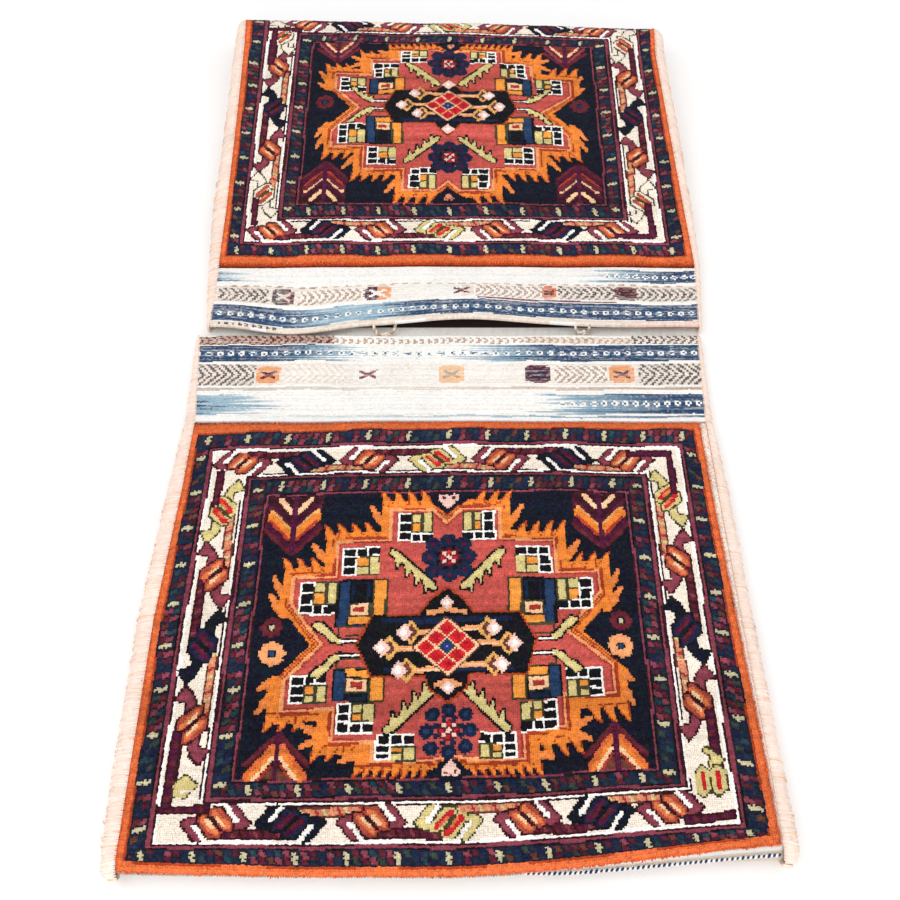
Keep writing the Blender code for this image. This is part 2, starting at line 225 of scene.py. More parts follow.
@dataclass(frozen=True)
class StripShape:
    """How the one woven strip lies: flat, with both ends folded up and over. Sizes in metres."""

    length: float = 1.137
    back: float = 0.003
    band: float = 0.004
    pile: float = 0.008
    lift: float = 0.006
    lift_x: float = 0.02
    lift_width: float = 0.15
    droop: float = 0.0115
    droop_x: float = -0.175
    droop_width: float = 0.085
    ripple_height: float = 0.0006
    ripples: tuple[tuple[float, float, float], ...] = ((31, 9, 0.6), (-7, 23, 0), (52, -38, 1.9))
    field: tuple[float, ...] = (0.090, 0.235, 0.380)
    origin: Pair = (0.000109, 0.005742)

    def places(self, half: Half) -> list[float]:
        """Where along the bag each of a pouch's edges is given."""
        reach = self.centre(half)[0] - half.joint_y
        field = [half.joint_y + reach * along / self.flat(half) for along in self.field]
        return [half.lip_y, half.joint_y, *field, half.way * self.length / 2]

    def edge(self, y: Array | float, index: int) -> Array:
        """One of the given edges or bulges at places along the bag.

        Args:
            y: places along the bag.
            index: 0 for the left edge, 1 for the right one, 2 and 3 for their bindings' bulges.

        Returns:
            The value at each place.
        """
        places = self.places(NEAR)[::-1] + self.places(FAR)
        return np.interp(y, places, [row[index] for row in NEAR.edges[::-1] + FAR.edges])

    def share_across(self, x: Array, y: Array) -> Array:
        """Place across the cloth, from -1 to 1, of a point at x."""
        left, right = self.edge(y, 0), self.edge(y, 1)
        return (2 * x - left - right) / (right - left)

    def radius(self, half: Half) -> float:
        """Radius of a pouch's fold on its inner side."""
        return (half.end_rise - self.pile - self.back) / 2

    def centre(self, half: Half) -> Pair:
        """Place and height of the fold's axis."""
        radius = self.radius(half)
        return half.way * (self.length / 2 - self.pile - radius), self.back + radius

    def flat(self, half: Half) -> float:
        """Length of the face before it turns round the fold."""
        centre_y, centre_z = self.centre(half)
        rise = centre_z + self.radius(half) - half.joint_rise + self.band
        return math.hypot(centre_y - half.joint_y, rise)

    def place(
        self, half: Half, y: Array, z: Array, across: Array, lip: Array, crown: Array, slack: Array
    ) -> Array:
        """Points of the cloth from a place along it and -1 to 1 across it.

        Args:
            half: the pouch.
            y: place along the bag.
            z: height.
            across: place across the cloth.
            lip: share of the lip's wave.
            crown: height of the crown here.
            slack: share of the end's shift.

        Returns:
            Points with x, y and z last.
        """
        left_edge, right_edge = self.edge(y, 0), self.edge(y, 1)
        x = across * (right_edge - left_edge) / 2 + (right_edge + left_edge) / 2
        lift = self.lift * hump(x, self.lift_x, self.lift_width)
        drift = lift - self.droop * hump(x, self.droop_x, self.droop_width)
        left = half.left * eased(np.clip(-across, 0, 1))
        right = half.right * eased(np.clip(across, 0, 1))
        out_y = y + lip * drift + slack * (left + right)
        out_z = z + lip * lift + crown * (1 - np.clip(across, -1, 1) ** 2) ** 2
        return np.stack([x - self.origin[0], out_y - self.origin[1], out_z + 0 * x], axis=-1)

    def ripple(self, points: Array, across: Array) -> Array:
        """Lays slow waves of under a millimetre into a face.

        Args:
            points: points of the cloth.
            across: their places across it.

        Returns:
            The same points, raised and lowered.
        """
        x, y = points[..., 0], points[..., 1]
        long, cross, short = (np.sin(a * x + b * y + start) for a, b, start in self.ripples)
        points[..., 2] += self.ripple_height * (long * cross + 0.6 * short) * (1 - across**4)
        return points

    def on_band(self, half: Half, share: Array, across: Array, height: Array | float) -> Array:
        """Points over a mouth band.

        Args:
            half: the pouch.
            share: 0 at the lip, 1 at the face.
            across: -1 to 1 across the cloth.
            height: height over its inner side.

        Returns:
            Points with x, y and z last.
        """
        y = half.lip_y + half.way * half.band_length * share
        z = half.lip_rise + (half.joint_rise - half.lip_rise) * share - self.band + height
        wave, crown = half.wave * eased(1 - share), half.crown * eased(share) / 2
        return self.ripple(self.place(half, y, z, across, wave, crown, 0 * share), across)

    def on_face(self, half: Half, along: Array, across: Array, height: Array | float) -> Array:
        """Points over a face, by distance from the mouth band over the flat and round the fold.

        Args:
            half: the pouch.
            along: distance along the face.
            across: -1 to 1 across the cloth.
            height: height over its inner side.

        Returns:
            Points with x, y and z last.
        """
        centre_y, centre_z = self.centre(half)
        radius = self.radius(half)
        start_z = half.joint_rise - self.band
        share = np.clip(along / self.flat(half), 0, 1)
        angle = np.clip(along - self.flat(half), 0, None) / (radius + self.pile)
        reach = radius + height
        y = half.joint_y + (centre_y - half.joint_y) * share + half.way * reach * np.sin(angle)
        z = start_z + (centre_z + radius - start_z) * share - radius + reach * np.cos(angle)
        flat_crown = half.crown * (0.5 + 0.5 * hump(share, 0.5, 0.5))
        crown = np.where(angle > 0, half.crown * np.clip(np.cos(angle), 0, 1) / 2, flat_crown)
        slack = eased(share)
        return self.ripple(self.place(half, y, z, across, 0 * share, crown, slack), across)

    def on_floor(self, half: Half, y: Array, across: Array, height: Array | float) -> Array:
        """Points of the back on the floor.

        Args:
            half: the pouch over it.
            y: place along the bag.
            across: -1 to 1 across the cloth.
            height: distance from its inner side, downwards.

        Returns:
            Points with x, y and z last.
        """
        start, end = half.joint_y, self.centre(half)[0]
        slack = eased(np.clip((y - start) / (end - start), 0, 1))
        return self.place(half, y, self.back - height + 0 * y, across, 0 * y, 0 * y, slack)


SHAPE = StripShape()


@dataclass
class Chart:
    """Cells of wool, each known by its place in millimetres. Views share one set of colours."""

    u: Array
    s: Array
    rgb: Array

    def local(self, centre: Pair, t_axis: Pair = (1, 0), w_axis: Pair = (0, 1)) -> "Chart":
        """The same cells as seen from a motif.

        Args:
            centre: the motif's middle.
            t_axis: which way the motif's first axis points.
            w_axis: which way its second points.

        Returns:
            A view of the chart.
        """
        du, ds = self.u - centre[0], self.s - centre[1]
        return Chart(du * t_axis[0] + ds * t_axis[1], du * w_axis[0] + ds * w_axis[1], self.rgb)

    def scaled(self, u: float, s: float = 1.0) -> "Chart":
        """A view whose motifs come out stretched, or turned over if a factor is below zero."""
        return Chart(self.u / u, self.s / s, self.rgb)

    def mirrored(self, level: float) -> "Chart":
        """A view turned over about a level of its second axis."""
        return Chart(self.u, 2 * level - self.s, self.rgb)

    def around(self, points: Sequence[Pair], margin: float) -> Array:
        """The cells in the box round some points, with a margin."""
        low, high = np.min(points, axis=0) - margin, np.max(points, axis=0) + margin
        across = (self.u >= low[0]) & (self.u <= high[0])
        return np.nonzero(across & (self.s >= low[1]) & (self.s <= high[1]))[0]

    def dress(self, cells: Array, dye: Dye) -> None:
        """Gives cells a colour."""
        self.rgb[cells] = dye.linear

    def area(self, points: Sequence[Pair], dye: Dye) -> None:
        """Fills an outline.

        Args:
            points: its corners.
            dye: the colour.
        """
        cells = self.around(points, 0.0)
        u, s = self.u[cells], self.s[cells]
        hit = np.zeros(len(cells), bool)
        for (u0, s0), (u1, s1) in zip(points, [*points[1:], points[0]]):
            if s0 != s1:
                hit ^= ((s0 > s) != (s1 > s)) & (u < (u1 - u0) * (s - s0) / (s1 - s0) + u0)
        self.dress(cells[hit], dye)

    def line(self, points: Sequence[Pair], width: float, dye: Dye) -> None:
        """Draws a line of some width through points.

        Args:
            points: where it runs.
            width: its width.
            dye: the colour.
        """
        cells = self.around(points, width)
        u, s = self.u[cells], self.s[cells]
        hit = np.zeros(len(cells), bool)
        for (u0, s0), (u1, s1) in zip(points, points[1:]):
            du, ds = u1 - u0, s1 - s0
            at = np.clip(((u - u0) * du + (s - s0) * ds) / (du * du + ds * ds + 1e-9), 0, 1)
            hit |= np.maximum(np.abs(u - u0 - at * du), np.abs(s - s0 - at * ds)) <= width / 2
        self.dress(cells[hit], dye)

    def framed(self, points: Sequence[Pair], width: float, frame: Dye, dye: Dye) -> None:
        """Fills an outline and draws a line round it.

        Args:
            points: its corners.
            width: the line's width.
            frame: the line's colour.
            dye: the colour inside it.
        """
        self.line([*points, points[0]], width, frame)
        self.area(points, dye)

    def box(self, u0: float, u1: float, s0: float, s1: float, dye: Dye) -> None:
        """Fills a rectangle."""
        self.area(((u0, s0), (u1, s0), (u1, s1), (u0, s1)), dye)

    def spot(self, centre: Pair, radii: Pair, dye: Dye) -> None:
        """Fills an ellipse.

        Args:
            centre: its middle.
            radii: its radii.
            dye: the colour.
        """
        cells = self.around((centre,), max(radii))
        du, ds = self.u[cells] - centre[0], self.s[cells] - centre[1]
        self.dress(cells[(du / radii[0]) ** 2 + (ds / radii[1]) ** 2 <= 1], dye)

    def lozenge(self, centre: Pair, radii: Pair, dye: Dye) -> None:
        """Fills a diamond."""
        (u, s), (a, b) = centre, radii
        self.area(((u - a, s), (u, s - b), (u + a, s), (u, s + b)), dye)


class Wool(Enum):
    """The colour sets of the border's leaf motifs: outline, leaf, heart, light and head."""

    RUST = (Dye.DARK_MAROON, Dye.RUST, Dye.COPPER, Dye.PALE_PEACH, Dye.MAUVE)
    NAVY = (Dye.BLACK, Dye.DEEP_BLUE, Dye.PURPLE, Dye.MAROON, Dye.FIELD)
    STRAW = (Dye.OLIVE, Dye.STRAW, Dye.RED, Dye.COPPER, Dye.STRAW)
    PALE = (Dye.OLIVE, Dye.CREAM, Dye.RUST, Dye.COPPER, Dye.CREAM)


def on_ring(centre: Pair, reach: float, turn: float) -> Pair:
    """The point at some distance and angle from a centre."""
    return centre[0] + reach * math.cos(turn), centre[1] + reach * math.sin(turn)


class Edge(Enum):
    """The sides of a face's border: where each starts, which way it runs and which is inwards."""

    MOUTH = ((0, 0), (1, 0), (0, 1))
    END = ((0, FACE_LENGTH), (1, 0), (0, -1))
    LEFT = ((-FACE_HALF, 0), (0, 1), (1, 0))
    RIGHT = ((FACE_HALF, 0), (0, 1), (-1, 0))

    @property
    def upright(self) -> bool:
        """True for a side that runs from the mouth to the end."""
        return self in (Edge.LEFT, Edge.RIGHT)

    def view(self, chart: Chart, place: float, depth: float) -> Chart:
        """The chart as a motif on this side of the border sees it.

        Args:
            chart: the face's cells.
            place: where along the side.
            depth: how far in from the face's edge.

        Returns:
            A view whose second axis points to the field.
        """
        start, along, inwards = self.value
        u, s = (start[axis] + along[axis] * place + inwards[axis] * depth for axis in (0, 1))
        return chart.local((u, s), along, inwards)


@dataclass(frozen=True)
class FaceDesign:
    """The knotted design of a face, in millimetres: u across from its middle, s from its mouth."""

    side_steps: tuple[float, ...] = (0, 8.5, 22.5, 27.5, 31, 62, 66, 71, 86, 90)
    mouth_steps: tuple[float, ...] = (0, 12, 29, 33.5, 37, 65, 69, 73, 91, 95)
    end_steps: tuple[float, ...] = (0, 9, 26, 30.5, 34, 62, 66, 70, 83, 86)
    mouth_row: tuple[float, ...] = (-211, -147, -82.5, -13, 52.7, 121, 184)
    end_row: tuple[float, ...] = (-193, -131.5, -65, -1.5, 65, 128, 187)
    left_column: tuple[float, ...] = (109, 182, 257, 334, 396)
    right_column: tuple[float, ...] = (101, 177, 253, 326, 393)
    row_wools: tuple[Wool, ...] = (
        Wool.RUST, Wool.NAVY, Wool.RUST, Wool.STRAW, Wool.RUST, Wool.NAVY, Wool.RUST,
    )
    column_wools: tuple[Wool, ...] = (Wool.STRAW, Wool.RUST, Wool.NAVY, Wool.RUST, Wool.STRAW)
    column_depth: float = 46.5
    tree_wools: tuple[Dye, Dye, Dye] = (Dye.ORANGE, Dye.STRAW_ORANGE, Dye.ORANGE_EDGE)
    lower_rosette: Dye = Dye.PEACH
    whole_ends: bool = False
    bud: float = 1.0
    axis: float = -1.5

    def knot(self, chart: Chart) -> None:
        """Colours a whole face.

        Args:
            chart: the face's cells.
        """
        self.borders(chart)
        self.border_motifs(chart)
        self.corners(chart)
        self.field(chart)
        self.medallion(chart)
        self.centre(chart)

    def borders(self, chart: Chart) -> None:
        """Lays the edging, the guards and the ground of the main border.

        Args:
            chart: the face's cells.
        """
        last = len(self.side_steps) - 1
        steps = np.arange(last + 1.0)
        side = np.interp(FACE_HALF - np.abs(chart.u), self.side_steps, steps)
        mouth = np.interp(chart.s, self.mouth_steps, steps)
        end = np.interp(FACE_LENGTH - chart.s, self.end_steps, steps)
        depths = np.stack([side, mouth, end])
        depth = depths.min(axis=0)
        run = np.where(depths.argmin(axis=0) == 0, chart.s * 0.97, chart.u)
        chart.dress(depth >= last, Dye.FIELD)
        # The edging's outermost and innermost rows are BURNT: painted shade at the two sides of its
        # rolled edge.
        for reach, dye in (
            (last, Dye.DARK_MAROON), (8.85, Dye.MAUVE), (8.35, Dye.BLACK), (8, Dye.GUARD),
            (7, Dye.BLACK), (6.8, Dye.MAUVE), (6.25, Dye.DARK_MAROON), (5.75, Dye.WHITE),
            (5.25, Dye.DARK_MAROON), (5, Dye.CREAM), (3.75, Dye.WHITE), (3.05, Dye.DARK_MAROON),
            (2.75, Dye.MAUVE), (2.15, Dye.BLACK), (2, Dye.GUARD), (1, Dye.BURNT),
            (0.86, Dye.ORANGE_EDGE), (0.14, Dye.BURNT),
        ):
            chart.dress(depth < reach, dye)
        for low, pitch in ((1.0, 41.5), (7.0, 42.0)):
            self.guard_blocks(chart, depth - low, run, pitch)

    def guard_blocks(self, chart: Chart, w: Array, run: Array, pitch: float) -> None:
        """Sets slanted blocks of changing colours with a pale fleck in each repeat of a guard.

        Args:
            chart: the face's cells.
            w: 0 to 1 across the guard.
            run: distance along it.
            pitch: length of a repeat.
        """
        dyes = (
            Dye.SLATE, Dye.WINE, Dye.TEAL, Dye.MAROON, Dye.DEEP_BLUE, Dye.BROWN, Dye.SLATE,
            Dye.MAUVE, Dye.MOSS,
        )
        wools = np.array([dye.linear for dye in dyes])
        slant, first, spacing, shift, length = 7, 7.2, 6.9, 2.2, 5.0
        lean = run + slant * w
        cell, at = np.floor(lean / pitch).astype(int), lean % pitch
        core = (w > 0.1) & (w < 0.92)
        for half in (0, 1):
            band = core & ((w > 0.5) == bool(half))
            for block in range(5):
                start = first + spacing * block + shift * half
                inside = band & (at > start) & (at < start + length)
                pick = (cell * 5 + block * 3 + half * 4 + (cell * block) % 3) % len(dyes)
                chart.rgb[inside] = wools[pick[inside]]
        for start, stop, low, high in ((-1.0, 3.4, 0.12, 0.56), (2.0, 5.6, 0.42, 0.84)):
            chart.dress((at > start) & (at < stop) & (w > low) & (w < high), Dye.FLECK)

    def border_motifs(self, chart: Chart) -> None:
        """Strings the leaf motifs and the bars that link them round the main border.

        Args:
            chart: the face's cells.
        """
        for edge, places, wools, depth, stretch in (
            (Edge.MOUTH, self.mouth_row, self.row_wools, 51.5, 1.0),
            (Edge.END, self.end_row, self.row_wools, 48.0, 0.97),
            (Edge.LEFT, self.left_column, self.column_wools, self.column_depth, 1.14),
            (Edge.RIGHT, self.right_column, self.column_wools, self.column_depth, 1.12),
        ):
            for place, after, wool in zip(places, (*places[1:], None), wools):
                view = edge.view(chart, place, depth).scaled(stretch)
                flip = 1.0 if wool is Wool.RUST else -1.0
                if after is not None:
                    self.bar(view, 5.0, (after - place) / stretch - 5.0, -9.6 * flip, wool)
                if after is not None or self.whole_ends or not edge.upright:
                    self.leaf_motif(view.scaled(flip), wool, edge.upright)

    def bar(self, view: Chart, start: float, stop: float, w: float, wool: Wool) -> None:
        """Draws a link of slanting blocks between two motifs.

        Args:
            view: the cells as the motif before it sees them.
            start: where the link starts.
            stop: where it ends.
            w: its middle, across the border.
            wool: the colours of the motif before it.
        """
        frame, ground, dyes = Dye.BROWN, Dye.ROSE, (Dye.STRAW, Dye.PEACH, Dye.BRICK)
        if wool is Wool.RUST:
            frame, ground = Dye.DARK_MAROON, Dye.MAROON
            dyes = (Dye.PURPLE, Dye.MAUVE, Dye.DARK_MAROON)
        low, high, lean = w - 2.9, w + 2.9, 2.6
        view.box(start, stop, w - 4.6, w + 4.6, frame)
        view.box(start, stop, low, high, ground)
        for step, at in enumerate(np.arange(start + 1.5, stop - 4, 6.4)):
            block = ((at, high), (at + lean, low), (at + 2 * lean, low), (at + lean, high))
            view.area(block, dyes[step % 3])

    def leaf_motif(self, view: Chart, wool: Wool, upright: bool) -> None:
        """Draws a pair of slanting leaves between two hooked heads.

        Args:
            view: the cells as this motif sees them, turned over for the navy and straw ones.
            wool: its colours.
            upright: True for a motif on a side, whose heads are solid.
        """
        hook = (
            (-12, -15), (-15, -14.5), (-22, -8), (-25, -3), (-29.5, 0), (-25.5, 4), (-20, 6),
            (-13, 6), (-15, 1.5), (-18.5, 0), (-14.5, -7), (-10.5, -13),
        )
        beak = ((-32, -11), (-21, -18), (-18.5, -7.5), (-9, -8.5), (-9, 0.5), (-18, 0.5), (-24, -3))
        blade = (
            (-15.5, 7), (-15, 1.5), (-8, -8), (-4, -12.5), (4.5, -12.5), (7, -8), (3.5, -3),
            (-4.5, 5), (-9, 7.5),
        )
        outline, leaf, heart, light, head = wool.value
        turned = [view.scaled(way, way) for way in SIDES[::-1]]
        for half in turned:
            half.framed(beak if upright else hook, 2.6, outline, head)
            if not upright:
                half.line(((-8.5, -14.5), (-16.5, -3)), 2.3, Dye.WHITE)
                half.line(((-16, -4), (-18.5, -1.5)), 3.0, Dye.WHITE)
        for half in turned:
            half.framed(blade, 2.8, outline, leaf)
            half.line(((-11, 3.5), (2, -8.5)), 4.0, heart)
            half.line(((-8, 3), (-1, -4)), 2.0, light)
        view.line(((-4, 5), (3.5, -4.5)), 2.4, outline)

    def corners(self, chart: Chart) -> None:
        """Turns the links round the corners of the main border and fills the ends of its columns.

        Args:
            chart: the face's cells.
        """
        for path in (
            ((-232.5, 64), (-232.5, 99)), ((190, 43), (230, 43), (230, 94)),
            ((202, 432), (236, 432)), ((-239, 410), (-203, 410)),
            ((-234.5, 343), (-234.5, 406)), ((233, 338), (233, 384)),
        ):
            chart.line(path, 8.6, Dye.DARK_MAROON)
            chart.line(path, 5.2, Dye.PURPLE)
            (u0, s0), (u1, s1) = path[-2:]
            for share in (0.15, 0.4, 0.65, 0.9):
                u, s = u0 + (u1 - u0) * share, s0 + (s1 - s0) * share
                chart.box(u - 2.4, u + 2.4, s - 2.4, s + 2.4, Dye.MAROON)
        if self.whole_ends:
            return
        bud = ((-231, 398), (-231, 386), (-222, 379), (-211, 388), (-217, 394), (-221, 399))
        chart.framed(bud, 2.6, Dye.OLIVE, Dye.STRAW)
        chart.line(((-224, 394), (-214, 393)), 2.2, Dye.CREAM)
        last = Edge.RIGHT.view(chart, 392, self.column_depth)
        head = ((-23, -3), (-11, -16), (-3, -5), (-9, -3), (-15, -7), (-20, 1))
        last.framed(head, 2.6, Dye.OLIVE, Dye.STRAW)
        for w in (-8.5, 4.0):
            leaf = ((-7, w), (0, w - 7), (17, w - 5), (22, w + 2), (17, w + 7), (0, w + 6))
            last.framed(leaf, 2.6, Dye.OLIVE, Dye.STRAW)
            last.line(((1, w), (15, w + 1)), 3.6, Dye.RED)

    def field(self, chart: Chart) -> None:
        """Sets the corner trees and the small rosettes on the dark field.

        Args:
            chart: the face's cells.
        """
        for side in SIDES:
            self.tree(chart.local((side * 152, 96), (side, 0)), 71, 27)
            self.low_tree(chart.local((side * 147, 384), (side, 0), (0, -1)))
            if not self.whole_ends:
                self.rosette(chart, (side * 162.5, 242), 10.5, Dye.MAROON, Dye.FLECK)
            self.rosette(chart, (side * 160, 268), 12.0, self.lower_rosette, Dye.BLUE)

    def tree(self, view: Chart, height: float, half: float) -> None:
        """Draws a tree of chevrons that points away from the border.

        Args:
            view: the cells, with the tree's foot at the middle.
            height: its height.
            half: half its width.
        """
        tip = ((-half, 0), (half, 0), (half, height * 0.6), (0, height), (-half, height * 0.6))
        view.area(tip, Dye.DARK_MAROON)
        for reach, drop, thick, dye in (
            (14, 1, 8.5, Dye.DARK_MAROON), (15, 3, 4.2, Dye.PALE_PEACH), (26, 8, 3.0, Dye.PURPLE),
            (24, 14, 3.0, Dye.MAROON), (22, 18, 4.0, self.tree_wools[1]),
            (22.5, 24, 7.4, self.tree_wools[0]), (22.5, 29, 2.4, Dye.BRICK),
            (26, 38, 4.6, Dye.MAROON), (26, 33, 3.0, Dye.PURPLE),
        ):
            for side in SIDES:
                view.line(((side * reach, drop), (side * 3.4, drop + reach * 0.98)), thick, dye)
        view.area(((-5, 0), (5, 0), (0, 7)), Dye.BROWN)
        view.line(((0, 2), (0, height - 6)), 5.0, Dye.PURPLE)

    def low_tree(self, view: Chart) -> None:
        """Draws the tree that spreads on the end border.

        Args:
            view: the cells, with the tree's foot at the middle and its tip along the second axis.
        """
        view.area(((-29, 0), (29, 0), (25, 12), (0, 46), (-25, 12)), Dye.DARK_MAROON)
        view.area(((-13, 0), (13, 0), (0, 14)), Dye.BROWN)
        for foot, low, tip, high, thick, dye in (
            (27, 12, 2, 38, 3.6, Dye.MAROON), (23, 2, 3, 28, 6.4, self.tree_wools[2]),
            (22, 0, 3, 25, 3.6, self.tree_wools[0]), (18, 0, 3.5, 19, 2.6, Dye.PALE_PEACH),
            (14, 0, 4, 13, 2.0, Dye.BRICK),
        ):
            for side in SIDES:
                view.line(((side * foot, low), (side * tip, high)), thick, dye)
        view.line(((0, 1), (0, 42)), 5.0, Dye.PURPLE)

    def rosette(self, chart: Chart, centre: Pair, radius: float, dye: Dye, heart: Dye) -> None:
        """Draws a round flower of eight petals.

        Args:
            chart: the face's cells.
            centre: its middle.
            radius: its radius.
            dye: the petals' colour.
            heart: the colour of its heart.
        """
        for step in range(8):
            at = on_ring(centre, 0.66 * radius, math.pi / 4 * step)
            chart.spot(at, (radius * 0.36, radius * 0.36), dye)
        chart.spot(centre, (radius * 0.34, radius * 0.34), Dye.BLACK)
        chart.spot(centre, (radius * 0.24, radius * 0.24), heart)

    @property
    def outer(self) -> list[Pair]:
        """Outline of the medallion's orange edge, without its teeth."""
        return [
            (-66, 104), (-20, 104), (-1, 123), (18, 104), (61, 104), (61, 141), (115, 141),
            (115, 176), (155, 176), (157, 217), (126, 252), (163, 292), (160, 328), (116, 328),
            (116, 358), (80, 358), (80, 378), (15, 378), (1, 369), (-15, 378), (-80, 378),
            (-80, 364), (-116, 364), (-116, 334), (-160, 334), (-162, 300), (-126, 259),
            (-160, 217), (-156, 178), (-119, 178), (-119, 141), (-66, 141),
        ]

    @property
    def inner(self) -> list[Pair]:
        """Outline of the medallion's salmon ground."""
        return [
            (-57, 115), (-16, 115), (-2, 130), (12, 115), (51, 115), (51, 151), (104, 151),
            (104, 188), (144, 188), (144, 212), (111, 251), (150, 286), (150, 314), (103, 314),
            (103, 344), (66, 344), (66, 370), (18, 370), (1, 366), (-18, 370), (-66, 370),
            (-66, 353), (-102, 353), (-102, 323), (-148, 323), (-148, 294), (-116, 259),
            (-148, 217), (-148, 189), (-108, 189), (-108, 151), (-57, 151),
        ]

    def medallion(self, chart: Chart) -> None:
        """Lays the toothed orange medallion, its salmon ground and what stands on it.

        Args:
            chart: the face's cells.
        """
        chart.area(self.outer, Dye.ORANGE)
        self.teeth(chart)
        self.spikes(chart)
        ring = [*self.inner, self.inner[0]]
        chart.line(ring, 8.8, Dye.BURNT)
        chart.line(ring, 6.4, Dye.ORANGE)
        chart.area(self.inner, Dye.SALMON)
        chart.line(ring, 4.6, Dye.BRICK)
        chart.line(ring, 2.4, Dye.PEACH)
        for side in SIDES:
            half = chart.local((self.axis, 0), (side, 0))
            for box, low in (
                ((16, 48, 118, 152), True), ((66.5, 101, 158, 188.5), False),
                ((105, 139, 194, 229), True), ((109, 141, 289, 317), False),
                ((66, 98, 318, 346), True), ((29, 62, 345, 369), False),
            ):
                self.comb(half, box, low)
            self.navy_blocks(half)
            self.leaves(half)
        self.blue_flower(chart, (-1, 170), False)
        self.blue_flower(chart, (-1, 344), not self.whole_ends)
        chart.spot((1, 379), (13, 9.5), Dye.FIELD)
        self.bud_flower(chart, (-1, 104), 1.0, self.bud)
        self.bud_flower(chart, (1, 378), -1.0, self.bud * 0.8)

    def bud_flower(self, chart: Chart, centre: Pair, way: float, size: float) -> None:
        """Draws a small bud of two petals, whose point is turned to the medallion's middle.

        Args:
            chart: the face's cells.
            centre: its middle.
            way: 1 if it points to the end, -1 to the mouth.
            size: its size.
        """
        (u, s), petal = centre, Dye.PINK if size > 0.7 else Dye.ROSE
        for side in (-5.2 * size, 5.2 * size):
            chart.spot((u + side, s - way * 2.5 * size), (5.2 * size, 4.6 * size), petal)
        chart.lozenge((u, s + way * 3 * size), (7 * size, 8 * size), petal)
        for side in (-4.8 * size, 4.8 * size):
            chart.spot((u + side, s - way * 3 * size), (2.2 * size, 1.6 * size), Dye.BROWN)

    def teeth(self, chart: Chart) -> None:
        """Cuts the flame-like teeth along the medallion's steps.

        Args:
            chart: the face's cells.
        """
        curve = ((0, -1), (-0.6, 9), (-2.0, 15.5), (2.6, 12), (5.6, 7), (10.6, -1))
        width, spacing = 7, 13.2
        for start, stop, base, way, size in (
            (-66, -19, 108, -1, 1), (17, 61, 108, -1, 1), (-119, -66, 146, -1, 1),
            (61, 115, 146, -1, 1), (-157, -119, 183, -1, 1), (115, 155, 183, -1, 1),
            (-80, -15, 375, 1, 0.62), (15, 80, 375, 1, 0.62), (-116, -80, 354, 1, 1),
            (80, 116, 354, 1, 1), (-160, -116, 326, 1, 1), (116, 160, 326, 1, 1),
        ):
            chart.box(start, stop, base, base - way * 4, Dye.ORANGE)
            lean = 1 if start < 0 else -1
            for at in np.arange(start, stop - width * size, spacing * size):
                edge = at if lean > 0 else start + stop - at
                flame = [(edge + lean * du * size, base + way * ds * size) for du, ds in curve]
                chart.framed(flame, 1.6, Dye.BURNT, Dye.ORANGE)

    def spikes(self, chart: Chart) -> None:
        """Draws the slanting spikes at the medallion's sides.

        Args:
            chart: the face's cells.
        """
        for side in SIDES:
            half = chart.local((self.axis, 0), (side, 0))
            for u, s, du, ds in (
                (62, 133, 13, -21), (115, 172, 15, -19), (154, 209, 11, -20), (153, 228, 13, -20),
                (155, 293, 13, 9), (156, 306, 11, 18), (112, 345, 15, -8), (110, 350, 16, 6),
                (76, 364, 15, 6),
            ):
                half.line(((u - 2, s - ds * 0.1), (u + du * 0.6, s + ds * 0.55)), 6.6, Dye.ORANGE)
                half.line(((u + du * 0.4, s + ds * 0.35), (u + du, s + ds)), 4.4, Dye.FLAME)

    def comb(self, chart: Chart, box: Box, low: bool) -> None:
        """Draws a square comb: black teeth in white round two sides, blocks of straw and orange.

        Args:
            chart: the cells of one half, with u outwards.
            box: its sides.
            low: True if the teeth run along its lower side, False for its upper one.
        """
        u0, u1, s0, s1 = box
        side, row = 13.0, 10.5
        chart.box(u0 - 1, u1, s0, s1, Dye.WHITE)
        chart.box(u1 - side + 1.4, u1 - 1.9, s0 + 1.8, s1 - 1.8, Dye.BLACK)
        base, edge = (s1 - row + 1.4, s1 - 1.8) if low else (s0 + 1.8, s0 + row - 1.4)
        chart.box(u0 - 1, u1 - 1.9, base, edge, Dye.BLACK)
        for share in (0.0, 0.5):
            rise = row + (s1 - s0 - row) * share
            at = s1 - rise if low else s0 + rise
            chart.box(u1 - side, u1, at - 0.95, at + 0.95, Dye.WHITE)
            at = u1 - side - (u1 - u0 - side) * share
            chart.box(at - 0.95, at + 0.95, base - 1, edge + 1, Dye.WHITE)
        top, bottom = (s0 - 0.5, s1 - row) if low else (s0 + row, s1 + 0.5)
        chart.box(u0 - 1.5, u1 - side, top, bottom, Dye.OLIVE)
        split, middle = u0 + 9.5, (top + bottom) / 2
        chart.box(u0, split - 1.6, top + 1.6, bottom - 1.6, Dye.STRAW)
        upper, lower = (Dye.STRAW, Dye.AMBER) if low else (Dye.AMBER, Dye.STRAW)
        chart.box(split + 1.2, u1 - side - 1.4, top + 1.6, middle - 1, upper)
        chart.box(split + 1.2, u1 - side - 1.4, middle + 1, bottom - 1.6, lower)

